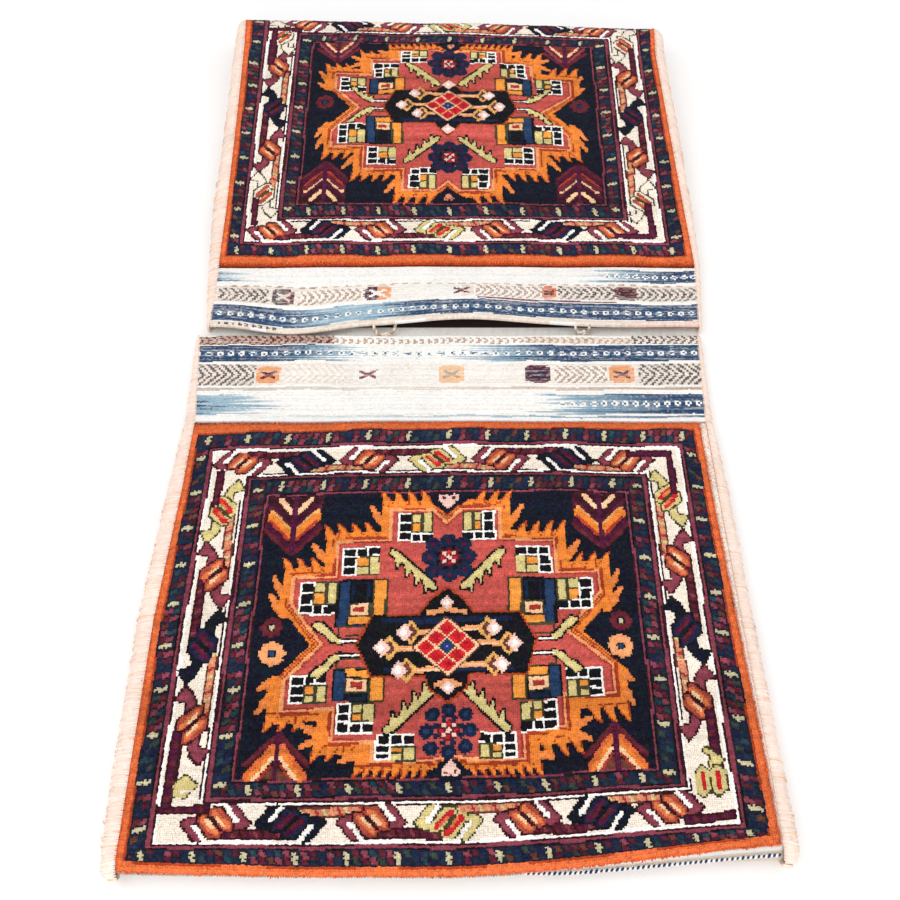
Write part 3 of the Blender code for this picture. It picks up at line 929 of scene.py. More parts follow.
    def navy_blocks(self, chart: Chart) -> None:
        """Draws the navy blocks with orange bars beside the centre.

        Args:
            chart: the cells of one half, with u outwards.
        """
        for top, bottom, stop, level, edge, bar in (
            (195, 241, 233, 219, 233, 243), (287, 315, 315, 295, 286, 275),
        ):
            for u0, u1, s0, s1, dye in (
                (56.5, 71.5, top - 2, stop + 1.5, Dye.OLIVE), (59, 69, top, stop, Dye.AMBER),
                (71.5, 104, top - 2, bottom + 1.5, Dye.BLACK),
                (73.5, 90, top + 1, bottom, Dye.DEEP_BLUE),
                (76, 88, top + 3, bottom - 3, Dye.BLACK), (92.5, 101.5, top, bottom, Dye.BLUE),
                (72, 92, level - 1.5, level + 13.5, Dye.OLIVE),
                (73.5, 90.5, level, level + 12, Dye.PALE_PEACH),
                (77, 87.5, level + 3.2, level + 8.8, Dye.BRICK),
                (70, 91.5, edge, edge + 7, Dye.AMBER), (70, 101, bar - 1.5, bar + 10, Dye.OLIVE),
                (71, 99, bar + 0.5, bar + 8.5, Dye.SALMON), (67, 75.5, bar + 1, bar + 7, Dye.AMBER),
            ):
                chart.box(u0, u1, s0, s1, dye)

    def leaves(self, chart: Chart) -> None:
        """Draws the saw-toothed leaves that slant to the corners and those beside the centre.

        Args:
            chart: the cells of one half, with u outwards.
        """
        saw = (
            (54, 161.5), (48, 164), (13, 199), (11.5, 204), (15, 206), (19, 202), (22, 208.5),
            (24, 196.5), (27.5, 192.5), (31, 200.5), (33, 187.5), (36.5, 183.5), (40, 191.5),
            (42, 178.5), (45.5, 174.5), (49, 182), (51, 170.5), (56, 166),
        )
        slim = (
            (124, 239), (117, 236), (111, 241), (103, 251), (97, 255), (97, 260), (106, 257),
            (111, 250), (119, 245),
        )
        toothed = (
            (127, 232), (121, 231), (118, 235), (117, 241), (112, 239), (111, 246), (106, 243.5),
            (104, 251), (99, 248.5), (96, 256), (96, 259.5), (99, 260), (111, 252),
        )
        tail = ((80, 257.5), (98, 257.5))
        for view in (chart, chart.mirrored(253.5)):
            view.framed(saw, 3.2, Dye.BLACK, Dye.STRAW)
        for view in (chart, chart.mirrored(264.7)):
            view.line(tail, 5.4, Dye.BLACK)
            view.framed(toothed if self.whole_ends else slim, 3.2, Dye.BLACK, Dye.STRAW)
            view.line(tail, 1.9, Dye.IVORY)

    def blue_flower(self, chart: Chart, centre: Pair, light: bool) -> None:
        """Draws a large flower of dark blue petals round a mottled red heart.

        Args:
            chart: the face's cells.
            centre: its middle.
            light: True for smaller petals that stand on the medallion's ground.
        """
        ground, size, mark, between = Dye.WINE, 8.0, Dye.PURPLE, Dye.BLACK
        if light:
            ground, size, mark, between = Dye.SALMON, 6.6, Dye.BLUE, Dye.DEEP_BLUE
        chart.spot(centre, (16, 16), ground)
        for step in range(8):
            turn = math.pi / 4 * step
            at = on_ring(centre, 21.0 if step % 2 else 19.0, turn)
            chart.spot(at, (size, size), Dye.DEEP_BLUE)
            chart.spot(at, (2.6, 2.6), mark)
            chart.spot(on_ring(centre, 12.0, turn + math.pi / 8), (2.6, 2.6), between)
        chart.spot(centre, (9.5, 9.5), Dye.MAROON)
        for step in range(8):
            at = on_ring(centre, 6.0, math.pi / 4 * step)
            chart.spot(at, (2.1, 2.1), Dye.PINK if step % 2 else Dye.RED)
        chart.spot(centre, (2.4, 2.4), Dye.PINK)

    def centre(self, chart: Chart) -> None:
        """Lays the black centre with its red lattice and stalked flowers.

        Args:
            chart: the face's cells.
        """
        upper = ((-28, 232), (-17, 215), (-3, 204), (11, 215), (22, 231))
        lower = ((17, 291), (14, 304), (-2.5, 317), (-19, 304), (-22, 292))
        if self.whole_ends:
            upper, lower = ((-19, 232), (-3, 207), (14, 231)), ((14, 291), (-2.5, 313), (-18, 292))
        right = ((66, 231), (81, 258), (70, 291))
        panel = ((-84, 262), (-70, 232), *upper, *right, *lower, (-70, 292))
        chart.framed(panel, 3.2, Dye.BURNT, Dye.BLACK)
        chart.box(-62, 60, 234, 240, Dye.DEEP_BLUE)
        chart.box(-60, 60, 284, 288, Dye.DEEP_BLUE)
        for u, s, out in (
            (-35, 249, -6), (-54.5, 264.5, -7), (-39, 286, -7), (36, 247, 6), (55, 261.5, 6),
            (40.5, 282, 7),
        ):
            chart.line(((u, s), (0, s)), 5.4, Dye.PEACH)
            chart.line(((u, s + 0.5), (0, s + 0.5)), 2.0, Dye.PALE_PEACH)
            chart.lozenge((u, s), (10, 12.5), Dye.STRAW_ORANGE)
            chart.lozenge((u, s), (5.6, 8), Dye.BROWN)
            chart.lozenge((u + out, s), (8, 8.8), Dye.PINK)
            chart.spot((u + out * 1.1, s), (3.2, 3.5), Dye.IVORY)
        grown = 1.35 if self.whole_ends else 1.0
        if not self.whole_ends:
            chart.line(((-19, 229), (-10, 228), (-2.5, 224.5), (5, 228), (14, 229)), 5.0, Dye.PEACH)
            chart.line(((-13, 301.5), (-2.5, 297.5), (8, 301.5)), 4.4, Dye.PEACH)
        for s in (219, 304):
            chart.lozenge((-2.5, s), (6.8 * grown, 7 * grown), Dye.PINK)
            chart.spot((-2.5, s), (2.8, 3), Dye.IVORY)
        core = (-2.3, 263.7)
        chart.lozenge(core, (32, 31), Dye.BROWN)
        chart.lozenge(core, (30.2, 29.2), Dye.PALE_PEACH)
        for row in (-1, 0, 1):
            for column in (-1, 0, 1):
                at = (core[0] + 9.5 * (row + column), core[1] + 9.2 * (row - column))
                middle = row == column == 0
                chart.lozenge(at, (8.4, 8.1), Dye.TEAL if middle else Dye.RED)
                if not middle:
                    chart.lozenge(at, (4.0, 3.8), Dye.DEEP_RED)
        chart.lozenge(core, (4.4, 4.2), Dye.ROYAL)
        chart.spot(core, (1.2, 1.2), Dye.PALE_BLUE)


@dataclass(frozen=True)
class FaceLay:
    """Where a face's design lies on its cloth, in mm.

    Each row of along is a distance in the design and where it falls on the left, in the middle and
    on the right.
    """

    along: tuple[Box, ...]
    scale: Pair
    selvedge: float
    spread: float = 255.0
    inner: float = 230.0
    lap_lost: float = 0.75

    def distance(self, u: Array, s: Array) -> Array:
        """Distance along the face of a place in the design.

        Args:
            u: place across, from the middle.
            s: distance from the mouth in the design.

        Returns:
            The distance on the cloth, which bends through its left, middle and right values.
        """
        table = np.array(self.along)
        left, middle, right = (np.interp(s, table[:, 0], table[:, side]) for side in (1, 2, 3))
        share = np.clip(u / self.spread, -1.06, 1.06)
        return middle + (right - left) / 2 * share + ((left + right) / 2 - middle) * share**2

    def end(self, across: Array) -> Array:
        """Distance along the face, in metres, of the design's end, at places from -1 to 1."""
        return self.distance(across * FACE_HALF, across * 0 + FACE_LENGTH) / MM

    def across(self, half: Half, u: Array, along: Array) -> Array:
        """Place across the cloth, from -1 to 1, of a place in the design.

        Args:
            half: the pouch.
            u: place across the design, from its middle.
            along: distance along the face, in metres.

        Returns:
            The place across: the design's middle keeps its own scale, its edges reach the cloth's.
        """
        flat = np.clip(along / SHAPE.flat(half), 0, 1)
        y = half.joint_y + (SHAPE.centre(half)[0] - half.joint_y) * flat
        left, right = SHAPE.edge(y, 0), SHAPE.edge(y, 1)
        ending = np.clip(along / (FACE_LENGTH / MM), 0, 1)
        lap = self.selvedge / MM * (1 - self.lap_lost * ending)
        low, high = -self.inner * self.scale[0] / MM, self.inner * self.scale[1] / MM
        outside = FACE_HALF + max(self.selvedge, 0.01)
        knots = (-FACE_HALF, -self.inner, 0.0, self.inner, FACE_HALF, outside)
        values = (left, low + 0 * y, 0 * y, high + 0 * y, right - lap, right)
        x = np.where(u < knots[0], left, 0.0)
        for index, knot in enumerate(knots[:-1]):
            start, stop = values[index : index + 2]
            part = np.clip((u - knot) / (knots[index + 1] - knot), 0, 1)
            x = np.where(u >= knot, start + (stop - start) * part, x)
        return SHAPE.share_across(x, y)


NEAR_LAY = FaceLay(
    (
        (0, 5, 4, 4), (12, 20, 13.5, 13.6), (29, 37.5, 30, 32.5), (71, 79.5, 71.7, 75),
        (95, 102.5, 94.3, 95), (384, 389, 384.2, 383.2), (404, 406.7, 403.6, 400.4),
        (438, 439.6, 437.7, 432.8), (444, 444.2, 443.7, 438.3), (461, 454, 457, 445.2),
        (470, 465, 467.5, 453.8),
    ),
    scale=(0.988, 0.958),
    selvedge=8.0,
)
FAR_LAY = FaceLay(
    ((0, 3, 3, 3), (95, 97, 96, 96), (384, 382, 384, 384), (470, 468, 468, 468)),
    scale=(1.0, 1.03),
    selvedge=0.0,
)


class NodeBoard:
    """Adds and joins the nodes of one tree."""

    def __init__(self, tree: bpy.types.NodeTree) -> None:
        """Keeps the tree."""
        self.tree = tree

    def add(self, kind: str, inputs: dict | None = None, **settings: Any) -> bpy.types.Node:
        """Adds a node.

        Args:
            kind: its type.
            inputs: a value, or a socket to join, for each input by name or number.
            settings: its own properties.

        Returns:
            The node.
        """
        node = self.tree.nodes.new(kind)
        for name, value in settings.items():
            setattr(node, name, value)
        for key, value in (inputs or {}).items():
            if isinstance(value, bpy.types.NodeSocket):
                self.tree.links.new(value, node.inputs[key])
            else:
                node.inputs[key].default_value = value
        return node

    def maths(self, operation: str, *values: Any) -> bpy.types.NodeSocket:
        """Adds a sum of one to three values and returns its result."""
        return self.add("ShaderNodeMath", dict(enumerate(values)), operation=operation).outputs[0]


@dataclass(frozen=True)
class WoolFinish:
    """A woollen surface that takes its colour from its own wool attribute."""

    name: str
    roughness: float = 0.92
    sheen: float = 0.12
    fibre: float = 900.0
    streak: float = 0.16
    knot_depth: float = 0.0
    groove_shade: float = 0.0
    weft_depth: float = 0.0
    warp_depth: float = 0.0
    cloud: float = 26.0
    sheen_roughness: float = 0.5
    gloss: float = 0.12

    def make(self) -> bpy.types.Material:
        """Builds the material.

        Returns:
            The material.
        """
        material = bpy.data.materials.new(self.name)
        material.use_nodes = True
        board = NodeBoard(material.node_tree)
        shader = material.node_tree.nodes["Principled BSDF"]
        for label, value in (
            ("Roughness", self.roughness), ("Sheen Weight", self.sheen),
            ("Sheen Roughness", self.sheen_roughness), ("Specular IOR Level", self.gloss),
        ):
            shader.inputs[label].default_value = value
        place = board.add("ShaderNodeTexCoord")
        spot, threads = place.outputs["Object"], place.outputs["UV"]
        wool = board.add("ShaderNodeAttribute", attribute_name="wool")
        fine, slow = (
            board.add("ShaderNodeTexNoise", {"Vector": spot, "Scale": scale, "Detail": detail})
            for scale, detail in ((self.fibre, 2.0), (self.cloud, 3.0))
        )
        both = board.maths("ADD", board.maths("MULTIPLY", fine.outputs[0], 1.4), slow.outputs[0])
        level = board.maths("MULTIPLY_ADD", both, self.streak * 2, 1.0 - self.streak * 2.4)
        shade = board.add(
            "ShaderNodeMix", {0: 1.0, 6: wool.outputs["Color"], 7: level},
            data_type="RGBA", blend_type="MULTIPLY",
        )
        board.tree.links.new(shade.outputs[2], shader.inputs["Base Color"])
        height = board.maths("MULTIPLY", fine.outputs[0], 0.35)
        split = board.add("ShaderNodeSeparateXYZ", {0: threads})
        if self.knot_depth:
            cells = board.add(
                "ShaderNodeTexVoronoi", {"Vector": threads, "Scale": 1.0, "Randomness": 0.4},
                voronoi_dimensions="2D",
            ).outputs["Distance"]
            height = board.maths("MULTIPLY_ADD", cells, -self.knot_depth, height)
            # Painted shade: the knot's colour darkens towards the edge of its cell, as shade in the
            # grooves between knots.
            groove_shade = board.maths("MULTIPLY_ADD", cells, -self.groove_shade, 1.0 + self.groove_shade * 0.42)
            board.tree.links.new(board.maths("MULTIPLY", level, groove_shade), shade.inputs[7])
        for axis, depth in ((1, self.weft_depth), (0, self.warp_depth)):
            if depth:
                turn = board.maths("SINE", board.maths("MULTIPLY", split.outputs[axis], math.pi))
                height = board.maths("MULTIPLY_ADD", board.maths("ABSOLUTE", turn), depth, height)
        bump = board.add("ShaderNodeBump", {"Strength": 0.6, "Distance": 0.0012, "Height": height})
        board.tree.links.new(bump.outputs[0], shader.inputs["Normal"])
        return material


@dataclass
class ClothMesh:
    """A closed piece of cloth: a grid of points on its outer side and one on its inner side."""

    name: str
    outer: Array
    inner: Array
    colours: Array
    threads: Pair
    under_step: int = 1

    def make(self, material: bpy.types.Material) -> bpy.types.Object:
        """Builds the piece.

        Args:
            material: its finish.

        Returns:
            The object, at the origin.
        """
        rows, columns = self.outer.shape[:2]
        top = np.arange(rows * columns).reshape(rows, columns)
        corners = (top[:-1, :-1], top[:-1, 1:], top[1:, 1:], top[1:, :-1])
        quads = np.stack(corners, axis=-1).reshape(-1, 4)
        low, kept, under = self.under_side(rows, columns)
        faces = quads.tolist()
        for upper, lower, way in (
            (top[0], low[0], 1), (top[-1], low[-1], -1), (top[:, 0], low[:, 0], -1),
            (top[:, -1], low[:, -1], 1),
        ):
            ends = (upper[1:], upper[:-1], lower[:-1], lower[1:])
            faces += np.stack(ends, axis=-1)[:, ::way].tolist()
        faces += under
        points = np.concatenate([self.outer.reshape(-1, 3), self.inner[kept]])
        a, b, c = points[quads[len(quads) // 2][:3]]
        if np.cross(b - a, c - a)[2] < 0:
            faces = [face[::-1] for face in faces]
        mesh = bpy.data.meshes.new(self.name)
        mesh.from_pydata(points.tolist(), [], faces)
        places = np.stack(np.meshgrid(np.arange(rows), np.arange(columns), indexing="ij"), axis=-1)
        self.colour(mesh, np.concatenate([places.reshape(-1, 2), places[kept]]))
        mesh.materials.append(material)
        mesh.shade_smooth()
        mesh.update()
        return put(self.name, mesh)

    def under_side(self, rows: int, columns: int) -> tuple[Array, Array, list[list[int]]]:
        """Plans the inner side, with larger cells than the outer one.

        Args:
            rows: rows of points.
            columns: columns of points.

        Returns:
            The number of each inner point, which of them are kept, and the inner faces.
        """
        row_marks = sorted({*range(0, rows - 1, self.under_step), rows - 1})
        column_marks = sorted({*range(0, columns - 1, self.under_step), columns - 1})
        kept = np.zeros((rows, columns), bool)
        kept[np.ix_(row_marks, column_marks)] = True
        kept[[0, -1]] = True
        kept[:, [0, -1]] = True
        low = np.full((rows, columns), -1)
        low[kept] = rows * columns + np.arange(kept.sum())
        faces = []
        for r0, r1 in zip(row_marks, row_marks[1:]):
            for c0, c1 in zip(column_marks, column_marks[1:]):
                ring = (low[r0:r1, c0], low[r1, c0:c1], low[r1:r0:-1, c1], low[r0, c1:c0:-1])
                around = np.concatenate(ring)
                faces.append(around[around >= 0].tolist())
        return low, kept, faces

    def colour(self, mesh: bpy.types.Mesh, places: Array) -> None:
        """Writes the wool attribute and the thread map.

        Args:
            mesh: the mesh to write to.
            places: the row and column of each of its points.
        """
        corners = np.empty(len(mesh.loops), np.int32)
        mesh.loops.foreach_get("vertex_index", corners)
        starts = np.empty(len(mesh.polygons), np.int32)
        mesh.polygons.foreach_get("loop_start", starts)
        at = places[corners]
        cells = np.minimum.reduceat(at, starts, axis=0)
        cells = np.minimum(cells, np.array(self.colours.shape[:2]) - 1)
        shades = self.colours[cells[:, 0], cells[:, 1]]
        rgba = np.ones((len(corners), 4), np.float32)
        rgba[:, :3] = np.repeat(shades, np.diff(np.append(starts, len(corners))), axis=0)
        wool = mesh.color_attributes.new("wool", "FLOAT_COLOR", "CORNER")
        wool.data.foreach_set("color", rgba.ravel())
        threads = mesh.uv_layers.new(name="threads")
        uvs = (at[:, ::-1] * np.array(self.threads)).astype(np.float32)
        threads.data.foreach_set("uv", uvs.ravel())


@dataclass
class KnottedFace:
    """The knotted pile face of one pouch."""

    half: Half
    design: FaceDesign
    lay: FaceLay
    seed: int
    columns: int = 300
    rows: int = 261
    edge_roll: float = 3.2
    relief: float = 0.0003
    jitter: float = 0.28
    selvedge_height: float = 0.0068

    def build(self, material: bpy.types.Material) -> bpy.types.Object:
        """Makes the face.

        Args:
            material: the pile's finish.

        Returns:
            The piece.
        """
        chance = np.random.default_rng(self.seed)
        knot = 2 * FACE_HALF / self.columns
        extra = round(self.lay.selvedge / knot)
        u_lines = np.arange(self.columns + extra + 1) * knot - FACE_HALF
        s_lines = np.arange(self.rows + 1) * FACE_LENGTH / self.rows
        s, u = np.meshgrid(s_lines, u_lines, indexing="ij")
        rgb = self.colours(chance, u_lines, s_lines)
        edge = np.minimum(FACE_HALF - np.abs(u), np.minimum(s, FACE_LENGTH - s))
        roll = np.sqrt(np.clip(1 - (1 - np.clip(edge / self.edge_roll, 0, 1)) ** 2, 0, 1))
        relief = chance.normal(0, self.relief, u.shape) * (edge > 0)
        pile = (SHAPE.pile - SHAPE.band) * roll + relief
        height = np.where(u > FACE_HALF + 0.5, self.selvedge_height, SHAPE.band + pile)
        jitter = chance.normal(0, self.jitter, (2, *u.shape)) * ((edge > 0) & (u < FACE_HALF - 1))
        along = self.lay.distance(u, s) / MM
        across = self.lay.across(self.half, u + jitter[0], along)
        outer = SHAPE.on_face(self.half, along + jitter[1] / MM, across, height)
        inner = SHAPE.on_face(self.half, along, across, UNDER)
        name = f"{self.half.name}_pile_face"
        return ClothMesh(name, outer, inner, rgb, (1.0, 1.0), under_step=3).make(material)

    def colours(self, chance: Chance, u_lines: Array, s_lines: Array) -> Array:
        """Knots the design and gives each knot and row its own slight shade.

        Args:
            chance: the face's random numbers.
            u_lines: lines between columns.
            s_lines: lines between rows.

        Returns:
            Colours by row and column.
        """
        u, s = (u_lines[1:] + u_lines[:-1]) / 2, (s_lines[1:] + s_lines[:-1]) / 2
        grid_s, grid_u = np.meshgrid(s, u, indexing="ij")
        rows = 0.7 * np.sin(grid_u / 17 + 1.3 * np.sin(grid_s / 41))
        columns = 0.7 * np.sin(grid_s / 19 + self.seed)
        blank = np.zeros((grid_u.size, 3))
        chart = Chart((grid_u + columns).ravel(), (grid_s + rows).ravel(), blank)
        self.design.knot(chart)
        selvedge = grid_u.ravel() > FACE_HALF
        pick = chance.random(grid_u.size)
        for limit, dye in (
            (1.0, Dye.BACK_PINK), (0.5, Dye.IVORY), (0.25, Dye.BLUSH), (0.06, Dye.PALE_PEACH),
        ):
            chart.dress(selvedge & (pick < limit), dye)
        rgb = chart.rgb.reshape(*grid_u.shape, 3)
        rgb *= self.shades(chance, rgb)[..., None]
        return np.clip(rgb + chance.normal(0, 0.004, rgb.shape), 0.002, 0.95)

    def shades(self, chance: Chance, rgb: Array) -> Array:
        """The shade of each knot: uneven dye along rows and knots, and painted shade in the furrows
        between colours.

        Args:
            chance: the face's random numbers.
            rgb: the knots' colours.

        Returns:
            A factor for each knot.
        """
        rows, columns = rgb.shape[:2]
        boundary_shade = np.zeros((rows, columns))
        for axis in (0, 1):
            change = np.abs(np.diff(rgb, axis=axis)).sum(axis=-1) > 0.02
            pad = [(0, 0), (0, 0)]
            pad[axis] = (0, 1)
            boundary_shade += np.pad(change, pad)
            pad[axis] = (1, 0)
            boundary_shade += np.pad(change, pad)
        row_shade = np.convolve(chance.normal(0, 0.21, rows + 8), np.ones(3) / 3, "same")[4:-4]
        slow = np.convolve(chance.normal(0, 0.5, rows + 60), np.ones(30) / 30, "same")[30:-30]
        clumps = chance.normal(0, 0.13, (rows + 1, columns + 1))
        clumps = (clumps[1:, 1:] + clumps[:-1, 1:] + clumps[1:, :-1] + clumps[:-1, :-1]) / 2
        knots = chance.normal(0, 0.10, (rows, columns))
        shade = (1 + row_shade + slow)[:, None] * (1 + clumps * 0.8 + knots)
        # Painted shade: knots beside a change of colour are darkened, as shade in the furrow
        # between colours.
        shade *= 1 - 0.10 * np.minimum(boundary_shade, 2)
        calm = 1 - 0.72 * np.clip(rgb.mean(axis=-1) / 0.7, 0, 1)
        return 1 + (shade - 1) * calm


@dataclass(frozen=True)
class BandDesign:
    """A flat-woven mouth band, in millimetres: u across from its middle, d from its lip."""

    length: float

    def fade(
        self, chart: Chart, d0: float, d1: float, stops: Sequence[tuple[float, Dye]], ragged: Array
    ) -> None:
        """Runs one wool into the next along the weft, row by row.

        Args:
            chart: the band's cells.
            d0: start of the stripe.
            d1: its end.
            stops: places across and the wool at each.
            ragged: how far each cell's row runs past the stops.
        """
        cells = np.nonzero((chart.s >= d0) & (chart.s < d1))[0]
        places = [place for place, _ in stops]
        wools = np.array([dye.linear for _, dye in stops])
        at = chart.u[cells] + ragged[cells]
        for channel in range(3):
            chart.rgb[cells, channel] = np.interp(at, places, wools[:, channel])

    def chevrons(
        self, chart: Chart, d0: float, d1: float, u0: float, u1: float, dark: Dye, light: Dye
    ) -> None:
        """Weaves a run of chevrons that point along the weft.

        Args:
            chart: the cells.
            d0: its first distance from the lip.
            d1: its last.
            u0: its left end.
            u1: its right end.
            dark: one wool.
            light: the other.
        """
        cells = np.nonzero((chart.s >= d0) & (chart.s < d1) & (chart.u >= u0) & (chart.u <= u1))[0]
        middle = (d0 + d1) / 2
        at = (chart.u[cells] + 0.9 * np.abs(chart.s[cells] - middle)) % 7.8
        chart.dress(cells[at < 3.6], dark)
        chart.dress(cells[at >= 3.6], light)

    def beads(self, chart: Chart, d: float, u0: float, u1: float, pitch: float) -> None:
        """Weaves a row of small white rings."""
        for at in np.arange(u0, u1, pitch):
            chart.spot((at, d), (3.7, 3.7), Dye.PALE_BLUE)
            chart.spot((at, d), (3.0, 3.2), Dye.WHITE)
            chart.spot((at, d), (1.5, 1.6), Dye.NAVY_WEFT)

    def diamonds(self, chart: Chart, d: float, u0: float, u1: float) -> None:
        """Weaves a row of small white diamonds."""
        for at in np.arange(u0, u1, 11.0):
            chart.lozenge((at, d), (4.4, 4.4), Dye.WHITE)
            chart.lozenge((at, d), (2.0, 2.0), Dye.NAVY_WEFT)

    def block(
        self, chart: Chart, u0: float, u1: float, d0: float, d1: float, dyes: tuple[Dye, Dye],
        mark: Dye,
    ) -> None:
        """Weaves a small block of one or two wools with a cross of another in it.

        Args:
            chart: the cells.
            u0: its left end.
            u1: its right end.
            d0: its first distance from the lip.
            d1: its last.
            dyes: the wools of its left and right half.
            mark: the cross's wool.
        """
        middle, level, half = (u0 + u1) / 2, (d0 + d1) / 2, (u1 - u0) * 0.27
        for left, right, dye in ((u0, middle, dyes[0]), (middle, u1, dyes[1])):
            chart.box(left, right, d0 + 1, d1 - 1, dye)
            chart.box(max(left, u0 + 3), min(right, u1 - 4), d0 - 1.5, d1 + 1.5, dye)
        chart.line(
            ((middle - half, level - half * 0.6), (middle + half, level + half * 0.6)), 3.0, mark
        )
        chart.line(
            ((middle + half, level - half * 0.6), (middle - half, level + half * 0.6)), 3.0, mark
        )


@dataclass(frozen=True)
class NearBandDesign(BandDesign):
    """The near pouch's mouth band."""

    def weave(self, chart: Chart, ragged: Array) -> None:
        """Weaves the band from its lip to the face.

        Args:
            chart: the cells.
            ragged: how far each row's wools run past their stops.
        """
        navy, pale, white = Dye.NAVY_WEFT, Dye.PALE_BLUE, Dye.WHITE
        self.fade(chart, 0, 123, ((-280, Dye.WHITE), (280, Dye.WHITE)), ragged)
        self.chevrons(chart, 1.5, 14, -280, -128, Dye.MAROON, Dye.TAN)
        self.chevrons(chart, 5, 13, -128, 80, Dye.TAN, Dye.IVORY)
        self.chevrons(chart, 4, 13, 80, 200, Dye.TAN, Dye.BEIGE)
        self.chevrons(chart, 1.5, 14, 200, 280, Dye.SMOKE, Dye.BEIGE)
        stops = (
            (-280, navy), (-172, navy), (-125, pale), (-100, white), (25, white), (50, pale),
            (110, navy), (280, navy),
        )
        self.fade(chart, 15.5, 39, stops, ragged)
        self.beads(chart, 27.5, -274, 276, 12.0)
        self.fade(chart, 43, 73, ((-280, Dye.BEIGE), (0, Dye.IVORY), (280, Dye.BEIGE)), ragged)
        self.chevrons(chart, 43, 73, -274, -209, Dye.SMOKE, Dye.BEIGE)
        self.chevrons(chart, 46, 70, -180, -110, Dye.BEIGE, Dye.IVORY)
        self.chevrons(chart, 43, 73, 203, 272, Dye.SMOKE, Dye.BEIGE)
        self.chevrons(chart, 46, 70, 112, 168, Dye.TAN, Dye.IVORY)
        for u0, u1, dye, mark in (
            (-207, -182, Dye.PEACH, Dye.MAROON), (-103, -73, Dye.IVORY, Dye.MAUVE),
            (-12, 15, Dye.PALE_PEACH, Dye.TAN),
            (81, 108, Dye.PURPLE, Dye.DEEP_BLUE), (171, 198, Dye.PEACH, Dye.MAROON),
        ):
            self.block(chart, u0, u1, 47, 69, (dye, dye), mark)
        self.fade(chart, 76, 80, ((-280, Dye.GREY), (-40, Dye.BEIGE), (280, Dye.TAN)), ragged * 3)
        stops = (
            (-280, navy), (-268, pale), (-222, pale), (-200, white), (104, white), (120, pale),
            (225, navy), (280, navy),
        )
        self.fade(chart, 86, 113, stops, ragged)
        self.diamonds(chart, 99, 118, 274)
        self.fade(chart, 115.5, 118, ((-280, white), (60, pale), (280, navy)), ragged)


@dataclass(frozen=True)
class FarBandDesign(BandDesign):
    """The far pouch's mouth band."""

    def weave(self, chart: Chart, ragged: Array) -> None:
        """Weaves the band from its lip to the face.

        Args:
            chart: the cells.
            ragged: how far each row's wools run past their stops.
        """
        navy, pale, white = Dye.NAVY_WEFT, Dye.PALE_BLUE, Dye.WHITE
        self.fade(chart, 0, 90, ((-280, white), (280, white)), ragged)
        self.fade(
            chart, 0, 6, ((-280, Dye.BEIGE), (190, Dye.BEIGE), (215, Dye.BLUSH), (280, Dye.BLUSH)),
            ragged,
        )
        self.chevrons(chart, 1, 5, -262, -190, Dye.SMOKE, Dye.BEIGE)
        stops = ((-280, navy), (-175, navy), (-125, pale), (-70, pale), (-35, navy), (280, navy))
        self.fade(chart, 7, 31, stops, ragged)
        self.beads(chart, 18, -270, 280, 12.0)
        self.fade(chart, 36, 60, ((-280, Dye.BEIGE), (0, Dye.IVORY), (280, Dye.BEIGE)), ragged)
        self.chevrons(chart, 37, 57, -262, -205, Dye.SMOKE, Dye.BEIGE)
        self.chevrons(chart, 38, 56, -170, -100, Dye.TAN, Dye.IVORY)
        self.chevrons(chart, 37, 57, 30, 104, Dye.TAN, Dye.IVORY)
        self.chevrons(chart, 37, 57, 122, 186, Dye.SMOKE, Dye.BEIGE)
        self.chevrons(chart, 37, 57, 212, 280, Dye.SMOKE, Dye.BEIGE)
        for u0, u1, dyes, mark in (
            (-201, -176, (Dye.SMOKE, Dye.MAROON), Dye.BEIGE),
            (-97, -67, (Dye.PURPLE, Dye.PEACH), Dye.IVORY),
            (-1, 27, (Dye.IVORY, Dye.BEIGE), Dye.MAROON),
            (104, 120, (Dye.ROSE, Dye.COPPER), Dye.MAROON),
            (187, 212, (Dye.MAROON, Dye.MAROON), Dye.DARK_MAROON),
        ):
            self.block(chart, u0, u1, 38, 56, dyes, mark)
        chart.box(30, 188, 32.5, 35, Dye.MAUVE)
        for at in np.arange(-250, 270, 13.0):
            chart.box(at, at + 7, 59, 61, Dye.TAN)
        stops = (
            (-280, navy), (-268, pale), (-236, white), (165, white), (190, pale), (235, navy),
            (290, navy),
        )
        self.fade(chart, 65, 84, stops, ragged)
        self.diamonds(chart, 74, 180, 280)


